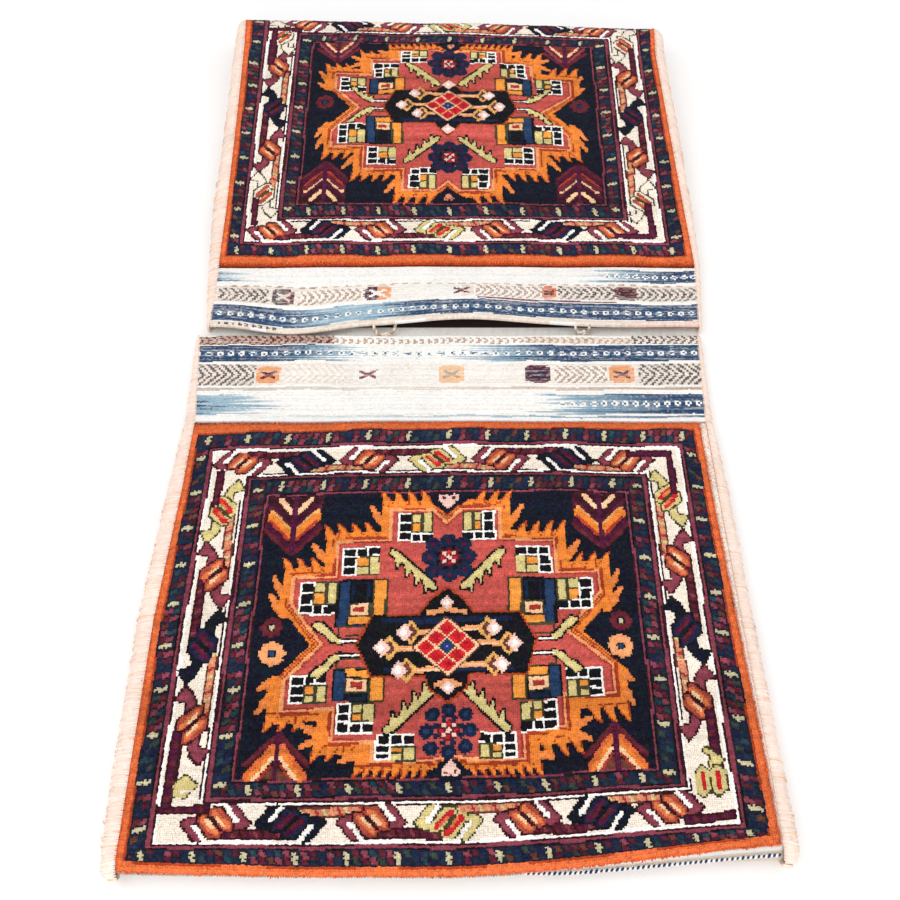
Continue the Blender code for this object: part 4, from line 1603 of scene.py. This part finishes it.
@dataclass
class MouthBand:
    """The flat-woven mouth band of one pouch."""

    half: Half
    design: NearBandDesign | FarBandDesign
    seed: int
    columns: int = 240
    pick: float = 1.5

    def build(self, material: bpy.types.Material) -> bpy.types.Object:
        """Makes the band.

        Args:
            material: the flat weave's finish.

        Returns:
            The piece.
        """
        chance = np.random.default_rng(self.seed)
        length = self.half.band_length * MM
        rows = round(length / self.pick)
        share, across = np.meshgrid(
            np.linspace(0, 1, rows + 1), np.linspace(-1, 1, self.columns + 1), indexing="ij"
        )
        points = SHAPE.on_band(self.half, share, across, SHAPE.band)
        noise = chance.normal(0, 0.00012, share.shape)
        ribs = 0.00018 * (np.arange(rows + 1) % 2)[:, None]
        points[..., 2] += noise + ribs
        edge = np.minimum(share * length, 1.0)
        points[..., 2] -= 0.0012 * (1 - edge)
        inner = SHAPE.on_band(self.half, share, across, UNDER)
        middle = (points[1:, 1:] + points[:-1, :-1]) / 2
        u = middle[..., 0] * MM + SHAPE.origin[0] * MM * (self.half.way < 0)
        d = (share[1:, 1:] + share[:-1, :-1]) / 2 * length
        ragged = np.repeat(chance.normal(0, 16, (rows, 1)), self.columns, axis=1)
        ragged = ragged + chance.normal(0, 3, u.shape)
        sway = np.repeat(chance.normal(0, 0.45, (rows, 1)), self.columns, axis=1)
        waved = d + 0.7 * np.sin(u / 31) + 0.6 * np.sin(u / 13 + self.seed)
        chart = Chart((u + sway).ravel(), waved.ravel(), np.ones((u.size, 3)))
        self.design.weave(chart, ragged.ravel())
        rgb = self.worn(chance, chart.rgb.reshape(*u.shape, 3))
        piece = ClothMesh(
            f"{self.half.name}_mouth_band", points, inner, rgb, (1.0, 1.0), under_step=3
        )
        return piece.make(material)

    def worn(self, chance: Chance, rgb: Array) -> Array:
        """Fades the band in streaks along the weft, as rubbed wool fades.

        Args:
            chance: the band's random numbers.
            rgb: its colours.

        Returns:
            The faded colours.
        """
        rows, columns = rgb.shape[:2]
        kernel = np.ones(9) / 9
        streak = np.stack(
            [np.convolve(row, kernel, "same") for row in chance.normal(0, 0.5, (rows, columns))]
        )
        rub = 0.05 + chance.normal(0, 0.08, (rows, 1)) + streak * 0.7
        rub = rub + chance.normal(0, 0.10, (rows, columns))
        rub = np.clip(rub, 0, 0.6)[..., None]
        shade = uneven(chance, 0.05, rows, 1) * uneven(chance, 0.06, rows, columns)
        return np.clip(
            (rgb * (1 - rub) + Dye.IVORY.linear * rub) * shade[..., None], 0.003, BRIGHTEST
        )


@dataclass
class BackCloth:
    """The plain back: from one face's end round the fold, under the bag and up to the other's."""

    columns: int = 140
    fold_rows: int = 16
    floor_rows: int = 70
    seed: int = 5
    seam: float = 0.025
    stripe: Pair = (0.17, 0.012)
    lit_bridge: Pair = (0.015, 0.0345)
    shadow_end: float = 0.2
    shadow_half: float = 0.262
    shadow_rise: float = 0.008
    pale_from: float = 0.06

    def build(self, material: bpy.types.Material) -> bpy.types.Object:
        """Makes the back.

        Args:
            material: the plain weave's finish.

        Returns:
            The piece.
        """
        chance = np.random.default_rng(self.seed)
        across = np.linspace(-1, 1, self.columns + 1)
        near, near_in = self.fold(NEAR, NEAR_LAY, across)
        far, far_in = self.fold(FAR, FAR_LAY, across)
        ys = np.linspace(SHAPE.centre(NEAR)[0], SHAPE.centre(FAR)[0], self.floor_rows + 1)[1:-1]
        grid_y, grid_across = np.meshgrid(ys, across, indexing="ij")
        half_rows = grid_y < self.seam
        floor = np.where(
            half_rows[..., None],
            SHAPE.on_floor(NEAR, grid_y, grid_across, SHAPE.back),
            SHAPE.on_floor(FAR, grid_y, grid_across, SHAPE.back),
        )
        floor_in = floor + np.array([0.0, 0.0, SHAPE.back - 0.0001])
        outer = np.concatenate([near, floor, far[::-1]])
        outer[..., 2] = np.maximum(outer[..., 2], 0.0)
        inner = np.concatenate([near_in, floor_in, far_in[::-1]])
        rows, columns = outer.shape[0] - 1, outer.shape[1] - 1
        run = run_along(outer[:, columns // 2])
        rgb = np.ones((rows, columns, 3)) * Dye.BACK_PINK.linear
        middle = (run[1:] + run[:-1]) / 2
        rgb[(middle % self.stripe[0]) < self.stripe[1]] = Dye.BEIGE.linear
        place = (outer[1:, 1:] + outer[:-1, :-1]) / 2
        x, y, z = place[..., 0], place[..., 1], place[..., 2]
        # Painted shadow: low down inside the far pouch's mouth, beyond the bridge, the back takes
        # the dark SHADOW colour where shade falls under the lip.
        inside = (y > self.lit_bridge[1]) & (y < self.shadow_end) & (np.abs(x) < self.shadow_half)
        rgb[inside & (z < self.shadow_rise)] = Dye.SHADOW.linear
        # Painted light: the bridge between the two lips is painted white, lighter than the back's
        # own pink, to lift the shade that falls there between the pouches.
        rgb[(y > self.lit_bridge[0]) & (y < self.lit_bridge[1])] = Dye.WHITE.linear
        # Partly painted light: the first two rows right of pale_from are white, the pale strip
        # above the twining, painted whiter than the back also to lift the shade where the cloth
        # turns under.
        rgb[:2][x[:2] > self.pale_from] = Dye.WHITE.linear
        shade = uneven(chance, 0.03, rows, 1) * uneven(chance, 0.02, rows, columns)
        rgb = np.clip(rgb * shade[..., None], 0, BRIGHTEST)
        return ClothMesh("back_cloth", outer, inner, rgb, (2.0, 8.0)).make(material)

    def fold(self, half: Half, lay: FaceLay, across: Array) -> tuple[Array, Array]:
        """The back's part round a fold, from the end of the pile to the floor.

        Args:
            half: the pouch.
            lay: how its face lies.
            across: places across the cloth.

        Returns:
            Its outer and its inner points.
        """
        radius = SHAPE.radius(half)
        end = lay.end(across) - 0.002
        last = SHAPE.flat(half) + math.pi * (radius + SHAPE.pile)
        steps = np.linspace(0, 1, self.fold_rows + 1)[:, None]
        along = end[None, :] + (last - end[None, :]) * steps
        wide = np.broadcast_to(across, along.shape)
        lifted = SHAPE.back + 0.003 * (1 - np.clip(steps * 5, 0, 1)) + 0 * along
        outer = SHAPE.on_face(half, along, wide, lifted)
        return outer, SHAPE.on_face(half, along, wide, 0.0001)


class GrowKind(Enum):
    """What a run of stitches is made of."""

    BEAD = "bead"
    ARC = "arc"


@dataclass
class StitchRun:
    """Stitches set by Geometry Nodes on a row of points, each with its own size, turn and wool."""

    name: str
    kind: GrowKind
    points: Array
    sizes: Array
    turns: Array
    wools: Array
    yarn: float = 0.0007
    detail: int = 8

    def build(self, material: bpy.types.Material) -> bpy.types.Object:
        """Makes the run as a plain mesh.

        Args:
            material: its finish.

        Returns:
            The piece.
        """
        mesh = bpy.data.meshes.new(self.name + "_points")
        mesh.from_pydata(self.points.tolist(), [], [])
        for label, values in (("size", self.sizes), ("turn", self.turns)):
            attribute = mesh.attributes.new(label, "FLOAT_VECTOR", "POINT")
            attribute.data.foreach_set("vector", np.ascontiguousarray(values, np.float32).ravel())
        rgba = np.ones((len(self.points), 4), np.float32)
        rgba[:, :3] = self.wools
        wool = mesh.attributes.new("wool", "FLOAT_COLOR", "POINT")
        wool.data.foreach_set("color", rgba.ravel())
        source = put(self.name + "_source", mesh)
        tree, yarn, detail = self.tree(material)
        modifier = source.modifiers.new("stitches", "NODES")
        modifier.node_group = tree
        modifier[yarn] = self.yarn
        modifier[detail] = self.detail
        bpy.context.view_layer.update()
        graph = bpy.context.evaluated_depsgraph_get()
        plain = bpy.data.meshes.new_from_object(source.evaluated_get(graph))
        plain.name = self.name
        thing = put(self.name, plain)
        bpy.data.objects.remove(source)
        plain.shade_smooth()
        return thing

    def tree(self, material: bpy.types.Material) -> tuple[bpy.types.NodeTree, str, str]:
        """Builds the node tree.

        Args:
            material: the finish that it sets.

        Returns:
            The tree and the identifiers of its yarn and detail inputs.
        """
        tree = bpy.data.node_groups.new(self.name + "_stitches", "GeometryNodeTree")
        board = NodeBoard(tree)
        tree.interface.new_socket("Geometry", in_out="INPUT", socket_type="NodeSocketGeometry")
        yarn = tree.interface.new_socket("Yarn", in_out="INPUT", socket_type="NodeSocketFloat")
        detail = tree.interface.new_socket("Detail", in_out="INPUT", socket_type="NodeSocketInt")
        tree.interface.new_socket("Geometry", in_out="OUTPUT", socket_type="NodeSocketGeometry")
        given = board.add("NodeGroupInput")
        size = board.add(
            "GeometryNodeInputNamedAttribute", {"Name": "size"}, data_type="FLOAT_VECTOR"
        )
        turn = board.add(
            "GeometryNodeInputNamedAttribute", {"Name": "turn"}, data_type="FLOAT_VECTOR"
        )
        if self.kind is GrowKind.BEAD:
            seed = board.add(
                "GeometryNodeMeshUVSphere",
                {"Segments": given.outputs[2], "Rings": 5, "Radius": 1.0},
            ).outputs[0]
        else:
            arc = board.add(
                "GeometryNodeCurveArc",
                {
                    "Resolution": given.outputs[2], "Radius": 1.0, "Start Angle": -math.pi / 2,
                    "Sweep Angle": math.pi,
                },
            )
            seed = board.add(
                "GeometryNodeTransform",
                {"Geometry": arc.outputs[0], "Rotation": (math.pi / 2, 0.0, 0.0)},
            ).outputs[0]
        spread = board.add(
            "GeometryNodeInstanceOnPoints",
            {
                "Points": given.outputs[0], "Instance": seed, "Rotation": turn.outputs[0],
                "Scale": size.outputs[0],
            },
        )
        real = board.add("GeometryNodeRealizeInstances", {0: spread.outputs[0]}).outputs[0]
        if self.kind is GrowKind.ARC:
            even = board.add("GeometryNodeSetCurveRadius", {"Curve": real, "Radius": 1.0})
            ring = board.add(
                "GeometryNodeCurvePrimitiveCircle", {"Resolution": 5, "Radius": given.outputs[1]}
            )
            real = board.add(
                "GeometryNodeCurveToMesh",
                {"Curve": even.outputs[0], "Profile Curve": ring.outputs[0], "Fill Caps": True},
            ).outputs[0]
        smooth = board.add("GeometryNodeSetShadeSmooth", {0: real}).outputs[0]
        final = board.add("GeometryNodeSetMaterial", {"Geometry": smooth, "Material": material})
        board.add("NodeGroupOutput", {0: final.outputs[0]})
        return tree, yarn.identifier, detail.identifier


@dataclass
class SideBinding:
    """The wool sewn over one side of a pouch: a bowed wall, overcast all along, in metres."""

    half: Half
    side: int
    wall: float = 0.0025
    gap: float = 0.0003
    sides: int = 10
    rows: int = 150
    stitch_pitch: float = 0.0014
    lap: float = 0.0015

    @property
    def name(self) -> str:
        """The name of the node that it stands for."""
        return f"{self.half.name}_{'left' if self.side < 0 else 'right'}_binding"

    def stations(self, count: int) -> Array:
        """Places along the binding.

        Args:
            count: how many.

        Returns:
            Rows of x, y, top, bottom and bulge.
        """
        half, rows = self.half, []
        radius = SHAPE.radius(half)
        band = half.band_length
        total = band + SHAPE.flat(half) + (radius + SHAPE.pile) * 1.25
        for reach in np.linspace(0, total, count):
            one = np.array(float(self.side))
            if reach <= band:
                share = np.array(reach / band)
                point, out_z = SHAPE.on_band(half, share, one, SHAPE.band), 1.0
                y = half.lip_y + half.way * reach
            else:
                along = np.array(reach - band)
                turn = max(0.0, float(along) - SHAPE.flat(half)) / (radius + SHAPE.pile)
                height = SHAPE.band + (SHAPE.pile - SHAPE.band) * min(1.0, float(along) / 0.002)
                point, out_z = SHAPE.on_face(half, along, one, height), math.cos(turn)
                y = half.joint_y + half.way * min(float(along), SHAPE.flat(half))
            bottom = (radius + SHAPE.back) * (1 - out_z)
            if point[2] - bottom < 3 * self.wall:
                break
            bulge = float(SHAPE.edge(y, 2 if self.side < 0 else 3)) * math.sqrt(max(out_z, 0.0))
            rows.append((point[0], point[1], point[2], bottom, bulge))
        return np.array(rows)

    def build(self, material: bpy.types.Material) -> bpy.types.Object:
        """Makes the wall.

        Args:
            material: its finish.

        Returns:
            The piece.
        """
        stations = self.stations(self.rows)
        turns = np.pi * (np.arange(self.sides + 1) / self.sides - 0.5)
        x, y, top, bottom, bulge = (stations[:, index, None] for index in range(5))
        middle, height = (top + bottom) / 2, (top - bottom) / 2 - self.wall
        skins = []
        for wall in (self.wall, 0.0):
            out = self.gap + (bulge + wall) * np.cos(turns)
            rise = (height + wall) * np.sin(turns)
            skins.append(np.stack([x + self.side * out, y + 0 * out, middle + rise], axis=-1))
        chance = np.random.default_rng(11 + self.side + self.half.way)
        rgb = Dye.BACK_PINK.linear * uneven(chance, 0.05, len(stations) - 1, self.sides)[..., None]
        piece = ClothMesh(
            self.name + "_wall", skins[0], skins[1], np.clip(rgb, 0, BRIGHTEST), (1.0, 1.0)
        )
        thing = piece.make(material)
        self.face_out(thing)
        return thing

    def face_out(self, thing: bpy.types.Object) -> None:
        """Turns the wall's faces outwards if they point into it."""
        mesh = thing.data
        best = max(mesh.polygons, key=lambda face: self.side * face.center.x)
        if best.normal.x * self.side < 0:
            mesh.flip_normals()

    def closing(self, ends: Array) -> Array:
        """Nests shrinking stitches in the wall's end, which close it.

        Args:
            ends: the wall's stations.

        Returns:
            Rows as the stations have them, one for each stitch.
        """
        x, y, top, bottom, bulge = ends[-1]
        ahead = (ends[-1] - ends[-2])[:2]
        ahead = ahead / np.linalg.norm(ahead) * self.stitch_pitch * 0.3
        middle, half_height = (top + bottom) / 2, (top - bottom) / 2
        count = math.ceil(half_height / (self.stitch_pitch * 0.8))
        rows = []
        for step in range(1, count):
            share = 1 - step / count
            rise = half_height * share
            on_x, on_y = ahead * step
            rows.append((x + on_x, y + on_y, middle + rise, middle - rise, bulge * share))
        return np.array(rows)

    def stitches(self, material: bpy.types.Material) -> bpy.types.Object:
        """Overcasts the wall.

        Args:
            material: the yarn's finish.

        Returns:
            The piece.
        """
        ends = self.stations(self.rows)
        run = run_along(ends[:, :2])
        at = np.arange(self.stitch_pitch, run[-1] - self.stitch_pitch / 2, self.stitch_pitch)
        rows = np.stack([np.interp(at, run, ends[:, index]) for index in range(5)], axis=-1)
        rows = np.concatenate([rows, self.closing(ends)])
        x, y, top, bottom, bulge = rows.T
        chance = np.random.default_rng(31 + self.side + 2 * self.half.way)
        lift = self.stitch_pitch * 0.3
        points = np.stack(
            [x + self.side * (self.gap - self.lap), y, (top + bottom) / 2 + lift], axis=-1
        )
        out = (bulge + self.wall) * uneven(chance, 0.05, len(rows)) + self.lap
        sizes = np.stack(
            [self.side * out, np.ones_like(out), (top - bottom) / 2 - self.wall * 0.1 - lift],
            axis=-1,
        )
        lean = chance.normal(0, 0.10, len(rows))
        turns = np.stack([0 * lean, 0 * lean, lean], axis=-1)
        light = np.array(
            [dye.linear for dye in (Dye.BACK_PINK, Dye.BACK_PINK, Dye.IVORY, Dye.BLUSH)]
        )
        wools = light[chance.integers(0, len(light), len(rows))] * 0.4 + Dye.BACK_PINK.linear * 0.6
        wools[chance.random(len(rows)) < 0.07] = Dye.PALE_PEACH.linear
        wools = wools * uneven(chance, 0.06, len(rows))[:, None]
        run_of = StitchRun(
            self.name + "_stitches", GrowKind.ARC, points, sizes, turns,
            np.clip(wools, 0, BRIGHTEST),
            yarn=self.stitch_pitch * 0.52, detail=9,
        )
        return run_of.build(material)


def sweep(
    name: str, strands: Sequence[tuple[Array, float, Dye]], material: bpy.types.Material
) -> bpy.types.Object:
    """Makes closed round yarns along paths.

    Args:
        name: the piece's name.
        strands: a path, a radius and a wool for each yarn.
        material: their finish.

    Returns:
        The piece.
    """
    sides, points, faces, shades = 8, [], [], []
    for path, radius, dye in strands:
        tangent = np.gradient(path, axis=0)
        tangent /= np.linalg.norm(tangent, axis=1)[:, None]
        first = np.cross(tangent, np.array([0.13, 0.31, 0.94]))
        first /= np.linalg.norm(first, axis=1)[:, None]
        second = np.cross(tangent, first)
        start, count = len(points), len(path)
        for row in range(count):
            taper = min(1.0, 0.45 + 0.28 * min(row, count - 1 - row))
            for side in range(sides):
                turn = 2 * math.pi * side / sides
                ring = math.cos(turn) * first[row] + math.sin(turn) * second[row]
                points.append(tuple(path[row] + radius * taper * ring))
        for row in range(count - 1):
            here = start + row * sides
            for side in range(sides):
                after = (side + 1) % sides
                faces.append((here + side, here + after, here + sides + after, here + sides + side))
        faces.append(tuple(start + side for side in reversed(range(sides))))
        faces.append(tuple(start + (count - 1) * sides + side for side in range(sides)))
        shades += [dye.linear] * (count * sides)
    mesh = bpy.data.meshes.new(name)
    mesh.from_pydata(points, [], faces)
    rgba = np.ones((len(points), 4), np.float32)
    rgba[:, :3] = shades
    mesh.attributes.new("wool", "FLOAT_COLOR", "POINT").data.foreach_set("color", rgba.ravel())
    mesh.materials.append(material)
    mesh.shade_smooth()
    return put(name, mesh)


@dataclass(frozen=True)
class ClosingLoop:
    """A knotted remnant of the closing, at the far lip. Sizes in metres."""

    side: str
    x: float
    width: float
    reach: float
    dyes: tuple[Dye, Dye]
    yarn: float = 0.0013
    pitch: float = 0.008

    def build(self, material: bpy.types.Material) -> bpy.types.Object:
        """Makes the loop of two plied yarns with a knot at its bottom.

        Args:
            material: the yarn's finish.

        Returns:
            The piece.
        """
        turn = np.linspace(0, math.pi, 60)
        x = self.x - self.width / 2 * np.cos(turn)
        edge = SHAPE.on_band(FAR, 0 * x, SHAPE.share_across(x, 0 * x + FAR.lip_y), SHAPE.band / 2)
        out = np.sin(turn)
        floor = SHAPE.back + 0.0032
        path = edge.copy()
        path[:, 1] += 0.0012 - self.reach * out
        path[:, 2] += (floor - edge[:, 2]) * eased(out)
        run = run_along(path)
        strands = []
        for index, dye in enumerate(self.dyes):
            phase = 2 * math.pi * run / self.pitch + math.pi * index
            around = np.stack([0.4 * np.cos(phase), np.cos(phase), np.sin(phase)], axis=-1)
            strands.append((path + self.yarn * around, self.yarn, dye))
        knot = np.linspace(0, 2 * math.pi, 50)
        middle = path[len(path) // 2] + np.array([0, 0, 0.0016])
        curl_x, curl_y = np.sin(knot) + 2 * np.sin(2 * knot), np.cos(knot) - 2 * np.cos(2 * knot)
        curl = np.stack([curl_x, curl_y, -1.1 * np.sin(3 * knot)], axis=-1)
        strands.append((middle + 0.0012 * curl[:-1], self.yarn, self.dyes[0]))
        return sweep(f"{self.side}_closing_loop_yarn", strands, material)


@dataclass
class FoldStitching:
    """The twining that ends the pile at the near fold: plain wool, then blue and white."""

    pitch: float = 0.0021
    change: float = 0.22

    def build(self, material: bpy.types.Material) -> bpy.types.Object:
        """Makes the twining.

        Args:
            material: the yarn's finish.

        Returns:
            The piece.
        """
        count = int(0.53 / self.pitch)
        across = np.linspace(-0.985, 0.985, count)
        plain = across < self.change
        drop = 0.0022 + 0.0062 * np.clip((across - self.change) / 0.15, 0, 1)
        along = NEAR_LAY.end(across) + drop
        points = SHAPE.on_face(NEAR, along, across, SHAPE.back + 0.0022)
        chance = np.random.default_rng(3)
        sizes = np.tile([0.0018, 0.0010, 0.0010], (count, 1)) * uneven(chance, 0.12, count, 1)
        sizes[plain] *= 0.8
        turns = np.stack([chance.normal(0, 0.2, count), 0 * across, np.full(count, 0.9)], axis=-1)
        wools = np.array(
            [(Dye.NAVY_WEFT if step % 2 else Dye.WHITE).linear for step in range(count)]
        )
        wools[plain] = Dye.GREY.linear * uneven(chance, 0.1, count, 1)[plain]
        run = StitchRun("fold_twining", GrowKind.BEAD, points, sizes, turns, wools, detail=7)
        return run.build(material)


@dataclass
class EdgeTufts:
    """The ends of the pile that stand out along the edging of a face."""

    half: Half
    lay: FaceLay
    seed: int
    spacing: float = 0.9

    def build(self, material: bpy.types.Material) -> bpy.types.Object:
        """Makes the tufts.

        Args:
            material: the pile's finish.

        Returns:
            The piece.
        """
        chance = np.random.default_rng(self.seed)
        reach = FACE_HALF - 2
        across, down = np.arange(-reach, FACE_HALF, self.spacing), np.arange(3, 467, self.spacing)
        rows = [np.stack([across, np.full(len(across), s)], -1) for s in (1.2, FACE_LENGTH - 1.4)]
        rows += [np.stack([np.full(len(down), u), down], -1) for u in (-reach - 0.4, reach + 0.4)]
        place = np.concatenate(rows) + chance.normal(0, 0.5, (sum(map(len, rows)), 2))
        along, count = self.lay.distance(place[:, 0], place[:, 1]) / MM, len(place)
        across = self.lay.across(
            self.half, np.clip(place[:, 0], 0.2 - FACE_HALF, FACE_HALF - 0.2), along
        )
        height = SHAPE.band + 0.0028 + chance.normal(0, 0.0004, count)
        points = SHAPE.on_face(self.half, along, across, height)
        thin = np.full(count, 0.0007)
        sizes = np.stack([thin, thin, chance.uniform(0.0013, 0.0022, count)], -1)
        tilts = [chance.normal(0, 0.5, count) for _ in range(2)]
        turns = np.stack([*tilts, chance.uniform(0, 6, count)], -1)
        wools = Dye.ORANGE_EDGE.linear * uneven(chance, 0.14, count, 1)
        wools, name = np.clip(wools, 0.01, 0.9), f"{self.half.name}_edge_tufts"
        run = StitchRun(name, GrowKind.BEAD, points, sizes, turns, wools, detail=5)
        return run.build(material)


class Bag:
    """The whole bag, built in the order in which it is sewn."""

    def __init__(self) -> None:
        """Makes the finishes."""
        self.pile = WoolFinish(
            "knotted_pile", knot_depth=0.9, groove_shade=0.9, streak=0.22, sheen=0.03
        ).make()
        self.flat = WoolFinish("flat_weave", weft_depth=0.5, warp_depth=0.15, streak=0.08).make()
        self.plain = WoolFinish(
            "plain_back_weave", weft_depth=0.4, warp_depth=0.3, streak=0.08
        ).make()
        self.yarn = WoolFinish("wool_yarn", fibre=1600.0, streak=0.12).make()

    @staticmethod
    def settle(thing: bpy.types.Object, slot: str, *nodes: str) -> None:
        """Puts a piece on the body and hides the solids that it stands for.

        Args:
            thing: the piece.
            slot: its material slot in the record; not used.
            nodes: the solids that it stands for.
        """
        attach(thing, BODY)
        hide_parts(*nodes)
        LOG.info("%s: %d faces", thing.name, len(thing.data.polygons))

    def faces(self) -> None:
        """Makes both knotted faces."""
        far_face = FaceDesign(
            tree_wools=(Dye.MAROON, Dye.PALE_PEACH, Dye.MAUVE), lower_rosette=Dye.MAROON,
            whole_ends=True, bud=0.62,
            column_wools=(Wool.PALE, Wool.RUST, Wool.NAVY, Wool.RUST, Wool.PALE),
        )
        for half, design, lay, seed in (
            (NEAR, FaceDesign(), NEAR_LAY, 1), (FAR, far_face, FAR_LAY, 2),
        ):
            face = KnottedFace(half, design, lay, seed).build(self.pile)
            self.settle(face, "woven_wool", "woven_strip")
            tufts = EdgeTufts(half, lay, 20 + seed).build(self.pile)
            self.settle(tufts, "woven_wool", "woven_strip")

    def bands(self) -> None:
        """Makes both mouth bands."""
        for half, design, seed in ((NEAR, NearBandDesign(123.0), 7), (FAR, FarBandDesign(89.0), 8)):
            band = MouthBand(half, design, seed).build(self.flat)
            self.settle(band, "woven_wool", "woven_strip")

    def back(self) -> None:
        """Makes the back and the twining at its near fold."""
        back = BackCloth().build(self.plain)
        self.settle(back, "woven_wool", "woven_strip")
        twining = FoldStitching().build(self.yarn)
        self.settle(twining, "woven_wool", "woven_strip")

    def bindings(self) -> None:
        """Makes the four side bindings."""
        for half in (NEAR, FAR):
            for side in (-1, 1):
                binding = SideBinding(half, side)
                wall = binding.build(self.yarn)
                self.settle(wall, "binding_wool", binding.name)
                self.settle(binding.stitches(self.yarn), "binding_wool", binding.name)

    def loops(self) -> None:
        """Makes the two closing loops."""
        for loop in (
            ClosingLoop("left", -0.0725, 0.024, 0.012, (Dye.BEIGE, Dye.TAN)),
            ClosingLoop("right", 0.147, 0.016, 0.007, (Dye.BEIGE, Dye.GREY)),
        ):
            self.settle(loop.build(self.yarn), "loop_yarn", f"{loop.side}_closing_loop")


@dataclass(frozen=True)
class Studio:
    """The pale floor, the soft lights and the camera at the photograph's angle."""

    camera_at: tuple[float, float, float] = (-0.0001, -0.8505, 0.951)
    pitch: float = 53.07
    lens: float = 46.0

    def build(self) -> None:
        """Sets the scene round the bag."""
        self.floor()
        self.lights()
        self.camera()

    def floor(self) -> None:
        """Lays the floor."""
        mesh = bpy.data.meshes.new("studio_floor")
        size, level = 12.0, -0.0006
        mesh.from_pydata(
            [
                (-size, -size, level), (size, -size, level), (size, size, level),
                (-size, size, level),
            ], [], [(0, 1, 2, 3)]
        )
        material = bpy.data.materials.new("pale_floor")
        material.use_nodes = True
        shader = material.node_tree.nodes["Principled BSDF"]
        shader.inputs["Base Color"].default_value = (0.93, 0.93, 0.93, 1)
        shader.inputs["Roughness"].default_value = 0.9
        mesh.materials.append(material)
        put("studio_floor", mesh)

    def lights(self) -> None:
        """Sets a bright even room and two wide lamps."""
        world = bpy.data.worlds.new("studio")
        world.use_nodes = True
        world.node_tree.nodes["Background"].inputs["Color"].default_value = (1, 1, 1, 1)
        world.node_tree.nodes["Background"].inputs["Strength"].default_value = 0.86
        bpy.context.scene.world = world
        for name, at, turn, size, power in (
            ("key", (-1.4, -0.6, 2.2), (0.25, -0.55, 0.0), 1.6, 14.0),
            ("fill", (1.5, 0.7, 2.0), (-0.3, 0.6, 0.0), 1.8, 8.0),
            ("front", (0.0, -2.2, 0.9), (1.1, 0.0, 0.0), 1.8, 16.0),
        ):
            lamp = bpy.data.lights.new(name, "AREA")
            lamp.size, lamp.energy = size, power
            thing = put(name, lamp)
            thing.location, thing.rotation_euler = at, turn
        bpy.context.scene.view_settings.view_transform = "Standard"

    def camera(self) -> None:
        """Sets the camera."""
        lens = bpy.data.cameras.new("camera")
        lens.lens, lens.sensor_width = self.lens, 36.0
        camera = put("camera", lens)
        camera.location = self.camera_at
        camera.rotation_euler = (math.radians(90 - self.pitch), 0.0, 0.0)
        bpy.context.scene.camera = camera


def main() -> None:
    """Dresses the bag."""
    logging.basicConfig(level=logging.INFO, format="%(message)s")
    bag = Bag()
    bag.back()
    bag.faces()
    bag.bands()
    bag.bindings()
    bag.loops()
    Studio().build()


if __name__ == "__main__":
    main()
